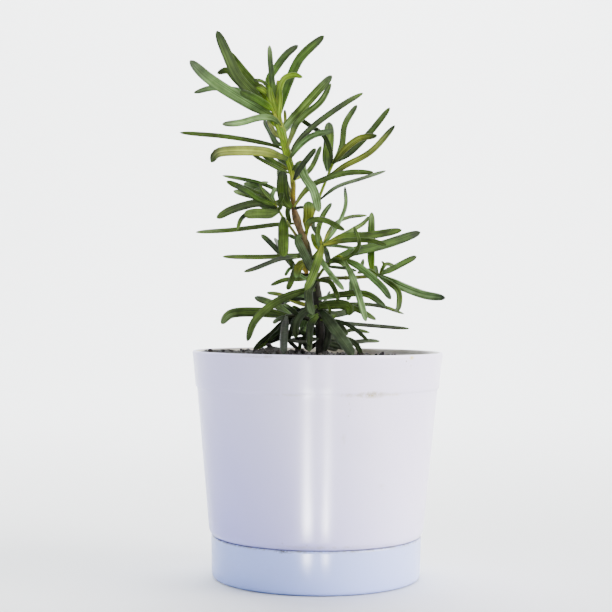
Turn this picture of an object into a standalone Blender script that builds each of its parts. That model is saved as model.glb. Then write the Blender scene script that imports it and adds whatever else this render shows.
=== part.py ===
"""Potted rosemary: a white plastic pot on its push-on base, filled with soil, and a young plant.

The origin is the centre of the base's underside, +Z is up and the plant's front faces -Y.
Tables and sizes are in millimetres. MM turns them into Blender's metres.
"""

import math

import bmesh
import bpy
from mathutils import Vector

MM = 0.001
FIT_GAP = 0.3  # between pieces that touch on the real plant

# Pot: a shell whose band runs round the rim and whose foot plugs into the base.
POT_TOP, RIM_RADIUS = 90.0, 50.0
BAND_FOOT, BAND_RADIUS = 76.6, 48.7
BODY_TOP, BODY_TOP_RADIUS = 75.0, 48.0
BODY_FOOT, BODY_FOOT_RADIUS = 19.3, 42.9
SHOULDER, SHOULDER_RADIUS = 17.2, 41.9
POT_WALL = 1.8
POT_FLOOR_THICKNESS = 1.6
FOOT_EDGE, BODY_EDGE, RIM_OUTER_EDGE, RIM_INNER_EDGE = 0.4, 1.6, 0.8, 0.6  # rounded edges
PLUG_TAPER = 0.4
DRAIN_HOLES, DRAIN_HOLE_RADIUS, DRAIN_CIRCLE, DRAIN_SIDES = 6, 3.0, 24.0, 12

# Base: a cup with a rounded bottom edge.
BASE_TOP, BASE_TOP_RADIUS = 16.8, 42.0
BASE_FOOT_RADIUS, BASE_EDGE = 41.6, 1.8
BASE_WALL, BASE_FLOOR = 1.6, 2.0
BASE_RIM_EDGE = 0.4

# Soil: higher on the left, with a small mound left of the stem and a socket for the stem's foot.
SOIL_LEVEL, SOIL_SLOPE, SOIL_MOUND = 87.7, 0.03, 2.6
MOUND_X, MOUND_Y, MOUND_SPREAD = -17.0, 2.0, 8.0
BROAD_LUMP, SMALL_LUMP = 0.5, 0.3  # heights of the lumps in its surface
SOCKET_RADIUS, SOCKET_FLOOR = 2.75, 78.0
SOIL_RINGS = (0.2, 0.42, 0.64, 0.84, 1.0)  # from the socket out to the wall
SOIL_WALL_TOP = 80.0
SOIL_SIDES = 40

# Routes are drawn on the plane Y = 0 as seen from the eye. A point at another depth is moved
# along its line of sight, so that the plant's outline from the eye stays as drawn.
EYE = Vector((-4.8, -559.0, 108.0))

LEAF_THICKNESS = 0.8
LEAF_LEAST_WIDTH = 2.2
LEAF_STATIONS = (0.0, 0.14, 0.32, 0.52, 0.72, 0.88, 1.0)
LEAF_FOOT_SHARE, LEAF_TIP_SHARE = 0.45, 0.3  # widths of its ends as shares of its full width
LEAF_END_THICKNESS = 0.6  # as a share of its full thickness
ROUND_SIDES, STEM_SIDES, STEM_STEP = 64, 8, 5.0
ROUTE_POINTS = 60  # while a route is being trimmed
LEAF_POINTS = 40

COLOURS = {
    "white_plastic": ((0.72, 0.74, 0.82), 0.3),
    "soil": ((0.02, 0.015, 0.01), 0.95),
    "woody_stem": ((0.13, 0.08, 0.04), 0.8),
    "green_stem": ((0.25, 0.28, 0.08), 0.6),
    "leaf": ((0.09, 0.18, 0.05), 0.5),
}

# Each stem as (x, z, depth, diameter), from its foot to its tip.
STEMS = {
    "main_stem": (
        (1.4, 80, 0, 4.6), (1.4, 88, 0, 4.5), (1.2, 96, 0.5, 4.1), (0.2, 106, 1, 3.3),
        (-1.1, 119, 1, 3.1), (-4.5, 131, 0.5, 2.8), (-8.2, 140.8, 0, 2.9), (-10.2, 148.5, 0, 2.3),
        (-10.3, 156, -0.5, 1.9), (-11.7, 165, -1, 2.3), (-13.7, 172.8, -1, 2.9),
        (-15.8, 181.5, -1.5, 2.3), (-18.3, 193.5, -2, 1.4),
    ),
    "left_upper_shoot": (
        (-8.7, 135.9, -0.5, 1.4), (-12.4, 141.1, -2, 1.1), (-14.7, 144, -3.5, 1.1), (-17.8, 149, -5, 1),
    ),
    "right_upper_shoot": (
        (-5.2, 134, 1, 1.7), (-4.8, 138, 2, 1.5), (-1.2, 148, 3, 1.3), (1.8, 156, 4, 1.3),
        (6, 166.5, 5, 1),
    ),
    "right_centre_shoot": (
        (-3, 126.5, -0.5, 1.5), (0, 130, -4, 1.4), (2.3, 133, -7, 1.2),
    ),
    "right_mid_shoot": (
        (0, 120, 0, 1.4), (3, 124, -1.5, 1.2), (7.5, 127.9, -3, 1.1), (10, 127.4, -4, 1),
    ),
    "right_lower_branch": (
        (0, 118, 1.5, 1.8), (3, 119.2, 2, 1.6), (13, 119.5, 3, 1.6), (22, 120.3, 4, 1.4),
        (24.8, 121, 4, 1.2),
    ),
    "left_mid_shoot": (
        (-1.5, 120.5, 1, 1.5), (-6, 120.7, 2, 1.3), (-9.5, 122.8, 2.5, 1.3), (-14, 127.5, 3, 1.1),
    ),
    "left_lower_branch": (
        (0.2, 100.5, 0, 1.9), (-4, 102.8, -1, 1.6), (-8.5, 104, -2, 1.5), (-13, 103.8, -3, 1.3),
    ),
}

# The longest and broadest leaves of each stem as width seen, tip depth, and (x, z) from foot to tip.
LEAVES = {
    "main_stem": (
        (4, -19, (-19.5, 187), (-25, 191.5), (-33.1, 200), (-37.9, 210), (-41.5, 218)),
        (2.8, -1, (-19.8, 189.6), (-28, 193.5), (-34, 199), (-37, 202.2), (-41.2, 201)),
        (4.3, -22, (-18, 183.5), (-25, 187.2), (-35, 192.8), (-45, 199.3), (-52.2, 206)),
        (2.3, 22, (-18.3, 189), (-28, 193.2), (-35, 194.5), (-42.6, 195.2), (-50.5, 193.1)),
        (2.5, -20, (-15.5, 180), (-18.6, 183), (-24, 183.4), (-31.8, 181.3), (-39, 180.6)),
        (1.5, 4, (-14.2, 170.3), (-20.5, 172.8), (-36.9, 175.6), (-56, 177.1)),
        (3.8, -24, (-12.5, 166.8), (-21.3, 169.6), (-31.6, 170.1), (-40.5, 169.2), (-43.3, 165.3)),
        (1.9, -16, (-17.8, 191), (-18.6, 195), (-19.7, 203), (-20.4, 212.4)),
        (2.9, 16, (-18.5, 192), (-20.6, 197.8), (-17.7, 203.3), (-13.4, 209), (-8.9, 212.5)),
        (3.6, 12, (-16.3, 184), (-14.5, 192.2), (-12.3, 198.4), (-7.7, 207.8), (1.4, 216.4)),
        (3.4, 1, (-15.2, 178), (-12.4, 181.4), (-8, 186.2), (-1.7, 193.4), (4.75, 200.5)),
        (2.4, -20, (-13, 170.8), (-11.3, 176), (-9, 181.5), (-5, 185.4), (0.5, 190.2), (4.4, 197.3)),
        (2.3, 18, (-12, 167), (-9.5, 172.7), (-2.1, 180.5), (9.6, 189.1), (17.3, 193.6)),
        (4.4, -15, (-11, 147.3), (-13.6, 150.2), (-14.7, 155), (-14.6, 162)),
        (3.4, -18, (-10.6, 162), (-8, 164.5), (-5.4, 159.2), (-2.1, 154.3), (0.1, 145.8)),
        (2.2, -16, (-10, 147.5), (-6.5, 153), (-1.5, 157.3), (10.3, 161.4), (21.7, 161.9)),
        (1.1, 15, (-10.3, 150.5), (-17.3, 154.6), (-25.7, 157.7), (-38.7, 160)),
        (1.6, 9, (-8.5, 141), (-16.1, 140.7), (-34.3, 138.3), (-49.2, 137.2)),
        (1.5, -12, (-4.2, 129), (-12.8, 128.1), (-23.7, 127.5), (-38.4, 127.5)),
        (3, -14, (-1, 114.5), (-5.9, 114.1), (-16.7, 109.6), (-25.2, 102), (-28.2, 93.7)),
        (2.5, -18, (0.2, 110.8), (9.8, 112.8), (19.5, 113), (27.2, 107.9)),
        (1.2, 20, (1, 104.5), (8.1, 101.7), (25.3, 100.1), (36.7, 99.3)),
        (4.2, -36, (1, 106.3), (4.6, 101.9), (9.5, 95.2), (14.3, 88.6)),
        (2.6, 34, (-14.6, 177), (-11, 182.5), (-6, 188)),
        (2.8, 30, (-10.4, 160), (-12.5, 166), (-14.5, 173)),
        (3, 30, (-0.4, 112), (-8, 112.2), (-17, 108.8)),
    ),
    "left_upper_shoot": (
        (3.1, -16, (-17, 147.3), (-24, 149.2), (-34.3, 146.6), (-40.9, 143)),
        (3.8, -24, (-16, 146), (-20, 144.9), (-25, 144.9), (-29.9, 144.5)),
        (4.2, -20, (-14.3, 143.5), (-14.1, 137.2), (-14, 127.7)),
        (2.4, 1, (-17.5, 148.6), (-24.5, 152.4), (-30.5, 155), (-37.1, 157.7)),
    ),
    "right_upper_shoot": (
        (1.6, 15, (5, 164.5), (4.7, 169.7), (1.5, 176.6), (-4.4, 180.7), (-11.5, 185.5)),
        (4.2, 18, (3.6, 162), (3.3, 168), (3.8, 175), (3.75, 181.8)),
        (2.4, 24, (5.8, 166), (9, 172.2), (10.2, 181), (14.9, 188.8)),
        (2.4, 14, (5.9, 165.6), (12.1, 169.4), (20.3, 177.9), (28.1, 187.8)),
        (2.5, -14, (5.6, 165.2), (10.1, 170.9), (15.9, 175.3), (23.1, 176.6)),
        (2.3, -14, (2.9, 159.4), (10.4, 164.4), (20.7, 170.2), (30.2, 180.75)),
        (4.2, -12, (-4.8, 139), (-4.2, 143.6), (-4.1, 150)),
    ),
    "right_centre_shoot": (
        (3, -8, (1.8, 132.2), (10.4, 135.9), (20.8, 136.6), (33.3, 138.8)),
        (1.7, -20, (2, 132.6), (10.4, 134.3), (20.8, 134.5), (27.2, 132.7)),
        (3.3, -18, (1.5, 132.6), (-0.2, 126.1), (-2.9, 118.5), (-5.2, 114.3)),
    ),
    "right_mid_shoot": (
        (3.7, 16, (6, 127), (14, 130), (26, 132.8), (40.8, 138)),
        (2.7, -18, (9.5, 127.4), (16.3, 124), (25.1, 116.5), (29.2, 111)),
        (2.5, -28, (9.8, 127.3), (14, 119.2), (17.3, 109.3), (19.3, 102.1)),
    ),
    "right_lower_branch": (
        (2.9, 16, (21.8, 120.6), (21.1, 128.7), (21.2, 145.8)),
        (2.4, 12, (24.5, 120.9), (30, 123.4), (35.2, 126.2), (39.3, 128.3)),
        (3.2, -13, (24.3, 120.6), (33.8, 116.1), (42.6, 112.9), (51, 111.7)),
    ),
    "left_mid_shoot": (
        (2.2, 20, (-12.8, 126.5), (-19.8, 133.7), (-23, 136.4)),
    ),
    "left_lower_branch": (
        (3.8, 13, (-11.5, 103.9), (-22.1, 105.3), (-34.3, 104.8), (-38.7, 100.6)),
        (3, -34, (-12.6, 103.8), (-13.5, 96), (-13.6, 88.8)),
    ),
}


def clear_scene():
    for item in list(bpy.data.objects):
        bpy.data.objects.remove(item, do_unlink=True)


def material(name):
    found = bpy.data.materials.get(name)
    if found:
        return found
    colour, roughness = COLOURS[name]
    made = bpy.data.materials.new(name)
    made.use_nodes = True
    shader = made.node_tree.nodes["Principled BSDF"]
    shader.inputs["Base Color"].default_value = (*colour, 1.0)
    shader.inputs["Roughness"].default_value = roughness
    shader.inputs["Metallic"].default_value = 0.0
    return made


def finish_mesh(name, shape, finish, sharp_angle=40):
    """Turn a bmesh in millimetres into a named object in metres."""
    bmesh.ops.recalc_face_normals(shape, faces=shape.faces)
    bmesh.ops.scale(shape, vec=(MM, MM, MM), verts=shape.verts)
    mesh = bpy.data.meshes.new(name)
    shape.to_mesh(mesh)
    shape.free()
    mesh.shade_smooth()
    mesh.set_sharp_from_angle(angle=math.radians(sharp_angle))
    mesh.materials.append(material(finish))
    made = bpy.data.objects.new(name, mesh)
    bpy.context.scene.collection.objects.link(made)
    return made


def turned(name, profile, finish):
    """Spin a closed outline of (radius, height) points about Z."""
    shape = bmesh.new()
    corners = [shape.verts.new((radius, 0.0, height)) for radius, height in profile]
    edges = [shape.edges.new(pair) for pair in zip(corners, corners[1:])]
    if profile[0][0] > 0 or profile[-1][0] > 0:
        edges.append(shape.edges.new((corners[-1], corners[0])))
    bmesh.ops.spin(
        shape,
        geom=corners + edges,
        cent=(0, 0, 0),
        axis=(0, 0, 1),
        angle=math.tau,
        steps=ROUND_SIDES,
        use_merge=True,
    )
    bmesh.ops.remove_doubles(shape, verts=shape.verts, dist=1e-4)
    return finish_mesh(name, shape, finish)


def rounded(centre_radius, centre_height, size, start, end, steps=4):
    """Points of an arc in the (radius, height) plane, with angles in degrees."""
    points = []
    for step in range(steps + 1):
        angle = math.radians(start + (end - start) * step / steps)
        points.append((centre_radius + size * math.cos(angle), centre_height + size * math.sin(angle)))
    return points


def build_base():
    foot = BASE_FOOT_RADIUS - BASE_EDGE
    inner = BASE_TOP_RADIUS - BASE_WALL
    profile = [(0, BASE_FLOOR), (0, 0)]
    profile += rounded(foot, BASE_EDGE, BASE_EDGE, -90, 0)
    profile += [(BASE_TOP_RADIUS, BASE_TOP - BASE_RIM_EDGE), (BASE_TOP_RADIUS - BASE_RIM_EDGE, BASE_TOP)]
    profile += [(inner, BASE_TOP), (inner - PLUG_TAPER, BASE_FLOOR)]
    return turned("base_cup", profile, "white_plastic")


def pot_inner_radius(height):
    """Radius of the pot's inside wall, which follows the foot, the body and the band."""
    plug = BASE_TOP_RADIUS - BASE_WALL - 2 * FIT_GAP - POT_WALL
    if height <= SHOULDER:
        return plug - PLUG_TAPER
    share = (height - SHOULDER) / (POT_TOP - SHOULDER)
    return plug + (RIM_RADIUS - POT_WALL - plug) * min(1.0, share * 1.02)


def build_pot():
    foot = BASE_FLOOR + FIT_GAP
    plug = BASE_TOP_RADIUS - BASE_WALL - 2 * FIT_GAP
    floor_top = foot + POT_FLOOR_THICKNESS
    profile = [(0, floor_top), (0, foot), (plug - PLUG_TAPER - FOOT_EDGE, foot)]
    profile += [(plug - PLUG_TAPER, foot + FOOT_EDGE), (plug, SHOULDER)]
    profile += [(SHOULDER_RADIUS - 0.2, SHOULDER), (SHOULDER_RADIUS, SHOULDER + 0.2)]
    profile += rounded(BODY_FOOT_RADIUS - BODY_EDGE, BODY_FOOT + 0.3, BODY_EDGE, -35, 0, 3)
    profile += [(BODY_TOP_RADIUS, BODY_TOP), (BODY_TOP_RADIUS + 0.15, BODY_TOP + 0.6)]
    profile += [(BAND_RADIUS, BAND_FOOT), (RIM_RADIUS, POT_TOP - RIM_OUTER_EDGE)]
    profile += rounded(RIM_RADIUS - RIM_OUTER_EDGE, POT_TOP - RIM_OUTER_EDGE, RIM_OUTER_EDGE, 15, 90, 3)
    inside = RIM_RADIUS - POT_WALL + RIM_INNER_EDGE
    profile += rounded(inside, POT_TOP - RIM_INNER_EDGE, RIM_INNER_EDGE, 90, 180, 2)
    profile += [(pot_inner_radius(SHOULDER + 2), SHOULDER + 2), (pot_inner_radius(SHOULDER), SHOULDER)]
    profile += [(pot_inner_radius(SHOULDER), floor_top)]
    pot = turned("pot", profile, "white_plastic")
    for hole in range(DRAIN_HOLES):
        turn = math.tau * (hole + 0.5) / DRAIN_HOLES
        drill_pot(pot, hole, DRAIN_CIRCLE * math.cos(turn), DRAIN_CIRCLE * math.sin(turn), foot)
    return pot


def drill_pot(pot, hole, x, y, height):
    """Cut one drain hole through the pot's floor."""
    shape = bmesh.new()
    bmesh.ops.create_cone(
        shape,
        cap_ends=True,
        segments=DRAIN_SIDES,
        radius1=DRAIN_HOLE_RADIUS,
        radius2=DRAIN_HOLE_RADIUS,
        depth=4 * POT_FLOOR_THICKNESS,
    )
    bmesh.ops.translate(shape, vec=(x, y, height), verts=shape.verts)
    drill = finish_mesh(f"drain_drill_{hole + 1}", shape, "white_plastic")
    drill.display_type = "WIRE"
    drill.hide_render = True
    cut = pot.modifiers.new(drill.name, "BOOLEAN")
    cut.operation = "DIFFERENCE"
    cut.object = drill


def soil_height(x, y):
    """A low mound and soft lumps on a surface that falls to the right-hand wall."""
    away = ((x - MOUND_X) ** 2 + (y - MOUND_Y) ** 2) / MOUND_SPREAD**2
    lumps = BROAD_LUMP * math.sin(0.31 * x + 1.0) * math.cos(0.27 * y) + SMALL_LUMP * math.sin(0.55 * y - 0.4 * x)
    return SOIL_LEVEL + SOIL_MOUND * math.exp(-away) + lumps - SOIL_SLOPE * x


def build_soil():
    """Rings from the socket's floor up its wall, out over the surface, down the side and in below."""
    stem_x = STEMS["main_stem"][1][0]
    floor = BASE_FLOOR + 2 * FIT_GAP + POT_FLOOR_THICKNESS
    outside = pot_inner_radius(SOIL_LEVEL) - FIT_GAP
    rings = [(SOCKET_RADIUS, stem_x, SOCKET_FLOOR), (SOCKET_RADIUS, stem_x, None)]
    for share in SOIL_RINGS:
        radius = SOCKET_RADIUS + (outside - 0.6 - SOCKET_RADIUS) * share
        rings.append((radius, stem_x * (1 - share), None))
    rings.append((pot_inner_radius(SOIL_WALL_TOP) - FIT_GAP, 0, SOIL_WALL_TOP))
    rings.append((pot_inner_radius(SHOULDER + 2) - 2 * FIT_GAP, 0, SHOULDER + 3))
    rings.append((pot_inner_radius(0) - FIT_GAP, 0, SHOULDER - 1))
    rings.append((pot_inner_radius(0) - FIT_GAP, 0, floor))
    loops = []
    for radius, centre, height in rings:
        loop = []
        for side in range(SOIL_SIDES):
            x = centre + radius * math.cos(math.tau * side / SOIL_SIDES)
            y = radius * math.sin(math.tau * side / SOIL_SIDES)
            loop.append(Vector((x, y, soil_height(x, y) if height is None else height)))
        loops.append(loop)
    return lofted("soil", loops, "soil")


def lofted(name, loops, finish):
    """Join loops of equal count into one skin, with a flat face over each end."""
    shape = bmesh.new()
    made = [[shape.verts.new(point) for point in loop] for loop in loops]
    count = len(made[0])
    for low, high in zip(made, made[1:]):
        for side in range(count):
            after = (side + 1) % count
            shape.faces.new((low[side], low[after], high[after], high[side]))
    shape.faces.new(list(reversed(made[0])))
    shape.faces.new(made[-1])
    bmesh.ops.triangulate(shape, faces=shape.faces)
    return finish_mesh(name, shape, finish, 60)


def seen(x, z, depth):
    """The point at a depth that the eye sees at (x, z) on the plane Y = 0."""
    stretch = (depth - EYE.y) / -EYE.y
    return Vector((EYE.x + (x - EYE.x) * stretch, depth, EYE.z + (z - EYE.z) * stretch))


def smooth_route(points, count):
    """Evenly spaced points on a Catmull-Rom curve through the given points."""
    padded = [2 * points[0] - points[1], *points, 2 * points[-1] - points[-2]]
    dense = []
    for a, b, c, d in zip(padded, padded[1:], padded[2:], padded[3:]):
        for step in range(12):
            t = step / 12
            dense.append(
                0.5 * (2 * b + (c - a) * t + (2 * a - 5 * b + 4 * c - d) * t**2 + (3 * b - a - 3 * c + d) * t**3)
            )
    dense.append(points[-1])
    lengths = [0.0]
    for a, b in zip(dense, dense[1:]):
        lengths.append(lengths[-1] + (b - a).length)
    route, place = [], 0
    for step in range(count):
        target = lengths[-1] * step / (count - 1)
        while place < len(dense) - 2 and lengths[place + 1] < target:
            place += 1
        share = (target - lengths[place]) / max(1e-9, lengths[place + 1] - lengths[place])
        route.append(dense[place].lerp(dense[place + 1], min(1.0, share)))
    return route


def stem_route(name):
    """Points along a stem as vectors of (x, y, z, radius), a few millimetres apart."""
    points = [Vector((*seen(x, z, depth), width / 2)) for x, z, depth, width in STEMS[name]]
    length = sum((b.xyz - a.xyz).length for a, b in zip(points, points[1:]))
    return smooth_route(points, max(5, round(length / STEM_STEP)))


def start_clear(points, parent, spare):
    """Drop the start of a route until it is clear of the stem that it grows from."""
    for place, point in enumerate(points):
        gap = min((point.xyz - knot.xyz).length - knot.w for knot in dense_stem(parent))
        if gap > spare:
            return points[place:]
    return points[-2:]


def dense_stem(name):
    points = stem_route(name)
    return smooth_route(points, 4 * len(points))


def cross_frame(route, place):
    """The route's direction, and the two directions across it, one of them towards the eye."""
    before, after = route[max(0, place - 1)].xyz, route[min(len(route) - 1, place + 1)].xyz
    along = (after - before).normalized()
    sight = EYE - route[place].xyz
    facing = (sight - along * sight.dot(along)).normalized()
    rise = along.cross(facing)
    return along, facing, rise if rise.z >= 0 else -rise


def build_stem(name):
    route = stem_route(name)
    if name != "main_stem":
        long = smooth_route(route, ROUTE_POINTS)
        route = smooth_route(start_clear(long, "main_stem", long[0].w + FIT_GAP), len(route))
    loops = []
    for place, point in enumerate(route):
        along, facing, rise = cross_frame(route, place)
        loop = []
        for side in range(STEM_SIDES):
            turn = math.tau * side / STEM_SIDES
            loop.append(point.xyz + point.w * (math.cos(turn) * facing + math.sin(turn) * along.cross(facing)))
        loops.append(loop)
    return lofted(name, loops, "woody_stem" if name == "main_stem" else "green_stem")


def leaf_route(stem, tip_depth, outline):
    """A leaf's middle line: it leaves the stem's surface and reaches its tip's depth evenly."""
    start = seen(*outline[0], 0)
    knot = min(dense_stem(stem), key=lambda knot: (seen_flat(knot.xyz) - start).length)
    aside = (seen_flat(knot.xyz) - start).length
    front = -1 if tip_depth < knot.y else 1
    base_depth = knot.y + front * math.sqrt(max(0.0, knot.w**2 - aside**2))
    lengths = [0.0]
    for a, b in zip(outline, outline[1:]):
        lengths.append(lengths[-1] + math.dist(a, b))
    points = []
    for (x, z), length in zip(outline, lengths):
        points.append(seen(x, z, base_depth + (tip_depth - base_depth) * length / lengths[-1]))
    return smooth_route(points, LEAF_POINTS)


def seen_flat(point):
    """Where the eye sees a point on the plane Y = 0."""
    shrink = -EYE.y / (point.y - EYE.y)
    return Vector((EYE.x + (point.x - EYE.x) * shrink, 0, EYE.z + (point.z - EYE.z) * shrink))


def blade_share(station):
    """Width along the leaf as a share of its full width: a narrow foot and a blunt tip."""
    foot = min(1.0, LEAF_FOOT_SHARE + 2.4 * station)
    return foot * max(LEAF_TIP_SHARE, 1 - station**5) ** 0.5


def build_leaf(name, stem, seen_width, tip_depth, *outline):
    route = start_clear(leaf_route(stem, tip_depth, outline), stem, LEAF_THICKNESS)
    route = [route[round(station * (len(route) - 1))] for station in LEAF_STATIONS]
    length = sum((b - a).length for a, b in zip(route, route[1:]))
    width = max(seen_width, min(LEAF_LEAST_WIDTH, length / 10))
    roll = math.acos(seen_width / width)
    loops = []
    for place, (point, station) in enumerate(zip(route, LEAF_STATIONS)):
        along, facing, rise = cross_frame(route, place)
        top = math.cos(roll) * facing + math.sin(roll) * rise
        side = along.cross(top)
        half = 0.5 * width * blade_share(station)
        thick = 0.5 * LEAF_THICKNESS * (LEAF_END_THICKNESS if station in (0.0, 1.0) else 1.0)
        corners = ((1, 0), (0.5, 1), (-0.5, 1), (-1, 0), (-0.5, -1), (0.5, -1))
        loops.append([point + half * u * side + thick * v * top for u, v in corners])
    return lofted(name, loops, "leaf")


def build():
    clear_scene()
    plant = bpy.data.objects.new("potted_rosemary", None)
    bpy.context.scene.collection.objects.link(plant)
    pieces = [build_base(), build_pot(), build_soil()]
    for stem, leaves in LEAVES.items():
        pieces.append(build_stem(stem))
        for number, leaf in enumerate(leaves, 1):
            pieces.append(build_leaf(f"{stem}_leaf_{number:02d}", stem, *leaf))
    for piece in pieces:
        piece.parent = plant


build()
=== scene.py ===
"""Potted rosemary: how the plant, its soil and its white plastic pot look."""

import math
import random

import bpy
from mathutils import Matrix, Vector, noise


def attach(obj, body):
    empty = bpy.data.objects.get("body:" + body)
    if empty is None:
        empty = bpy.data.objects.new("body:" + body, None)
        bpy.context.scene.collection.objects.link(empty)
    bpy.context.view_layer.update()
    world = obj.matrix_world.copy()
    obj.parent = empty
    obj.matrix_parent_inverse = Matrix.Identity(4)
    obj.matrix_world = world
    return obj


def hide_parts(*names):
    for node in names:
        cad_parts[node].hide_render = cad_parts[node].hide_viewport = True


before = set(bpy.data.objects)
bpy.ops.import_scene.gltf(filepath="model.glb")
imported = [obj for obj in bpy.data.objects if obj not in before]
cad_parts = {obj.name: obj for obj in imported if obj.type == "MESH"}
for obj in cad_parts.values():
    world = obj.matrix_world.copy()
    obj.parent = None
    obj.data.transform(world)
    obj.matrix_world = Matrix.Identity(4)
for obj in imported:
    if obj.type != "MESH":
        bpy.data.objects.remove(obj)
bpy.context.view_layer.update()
MM = 0.001

# ---------------------------------------------------------------------------------------------
# Camera. It stands level with the plant's lower leaves, a little above the pot's rim, with a
# long lens, and is turned by half a degree.
# ---------------------------------------------------------------------------------------------
EYE = Vector((-4.8, -559.0, 108.0))

bpy.ops.object.camera_add(location=EYE * MM, rotation=(math.radians(90), 0, 0))
camera = bpy.context.object
camera.rotation_euler = (math.radians(90), math.radians(-0.5), 0)
camera.data.lens = 82.0
camera.data.sensor_width = 36.0
bpy.context.scene.camera = camera

# ---------------------------------------------------------------------------------------------
# Pot. Injection-moulded polypropylene: a thin shell with a deeper band round its rim, a body
# that tapers down to a rounded lower edge, and a foot that plugs into the base. It is turned up
# ring by ring from the middle of its floor.
# ---------------------------------------------------------------------------------------------
ROUND_STEPS = 160
POT_PROFILE = (
    # radius and height in mm, along the underside, up the outside, over the rim and down inside
    (39.0, 2.3), (39.4, 2.7), (39.8, 17.2), (41.6, 17.2), (41.95, 17.5), (42.45, 18.4), (42.78, 19.2),
    (42.95, 20.4), (44.35, 36.0), (45.8, 51.5), (47.0, 64.5), (47.85, 73.2), (47.98, 75.0), (48.14, 75.5),
    (48.55, 75.95), (48.7, 76.5), (48.9, 78.8), (49.45, 84.5), (49.9, 88.6), (49.96, 89.3), (49.7, 89.85),
    (49.25, 90.0), (48.75, 89.9), (48.4, 89.5), (48.2, 88.6), (46.6, 74.0), (42.0, 33.0), (38.6, 17.4),
    (38.0, 3.9),
)


def start_fresh():
    """Leave edit mode and select nothing."""
    if bpy.context.object and bpy.context.object.mode != "OBJECT":
        bpy.ops.object.mode_set(mode="OBJECT")
    bpy.ops.object.select_all(action="DESELECT")


def turn_up(name, profile):
    """Extrude a circle through the (radius, height) points of a profile and close both ends."""
    start_fresh()
    radius, height = profile[0]
    bpy.ops.mesh.primitive_circle_add(
        vertices=ROUND_STEPS, radius=radius * MM, fill_type="NGON", location=(0, 0, height * MM)
    )
    piece = bpy.context.object
    piece.name = name
    bpy.ops.object.mode_set(mode="EDIT")
    bpy.ops.mesh.select_mode(type="EDGE")
    bpy.ops.mesh.select_all(action="DESELECT")
    bpy.ops.object.mode_set(mode="OBJECT")
    for edge in piece.data.edges:
        edge.select = True
    bpy.ops.object.mode_set(mode="EDIT")
    for (old, low), (new, high) in zip(profile, profile[1:]):
        bpy.ops.mesh.extrude_edges_move(TRANSFORM_OT_translate={"value": (0, 0, (high - low) * MM)})
        bpy.ops.transform.resize(value=(new / old, new / old, 1), center_override=(0, 0, 0))
    bpy.ops.mesh.edge_face_add()
    bpy.ops.mesh.select_all(action="SELECT")
    bpy.ops.mesh.normals_make_consistent(inside=False)
    bpy.ops.object.mode_set(mode="OBJECT")
    bpy.ops.object.transform_apply(location=True, rotation=True, scale=True)
    bpy.ops.object.shade_smooth_by_angle(angle=math.radians(50))
    return piece


def linear(code):
    """An sRGB hex colour as linear red, green, blue and alpha."""
    parts = [int(code[place : place + 2], 16) / 255 for place in (0, 2, 4)]
    return (*[part / 12.92 if part <= 0.04045 else ((part + 0.055) / 1.055) ** 2.4 for part in parts], 1.0)


def new_material(name):
    """An empty node material with its output and its main shader."""
    made = bpy.data.materials.new(name)
    made.use_nodes = True
    return made, made.node_tree.nodes["Principled BSDF"]


def node(material, kind, feeds=None, stops=None, **settings):
    """Add a node. feeds are its inputs, as values or as other nodes' outputs, and stops a ramp's."""
    made = material.node_tree.nodes.new("ShaderNode" + kind)
    for name, value in settings.items():
        setattr(made, name, value)
    for place, value in (feeds or {}).items():
        if isinstance(value, bpy.types.NodeSocket):
            material.node_tree.links.new(value, made.inputs[place])
        else:
            made.inputs[place].default_value = value
    if stops:
        ramp = made.color_ramp.elements
        while len(ramp) < len(stops):
            ramp.new(0.5)
        for element, (place, code) in zip(ramp, stops):
            element.position = place
            element.color = linear(code) if isinstance(code, str) else (code, code, code, 1)
    return made


def link(material, source, target):
    material.node_tree.links.new(source, target)


# painted shade: the plastic's colour turns from cream white to a darker lavender blue to the left and
# downwards
PAINTED_SHADE_LEAN = (-11.0, 0.0, -7.0)
PAINTED_SHADE_START, PAINTED_SHADE_END = -0.7, 0.4


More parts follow.
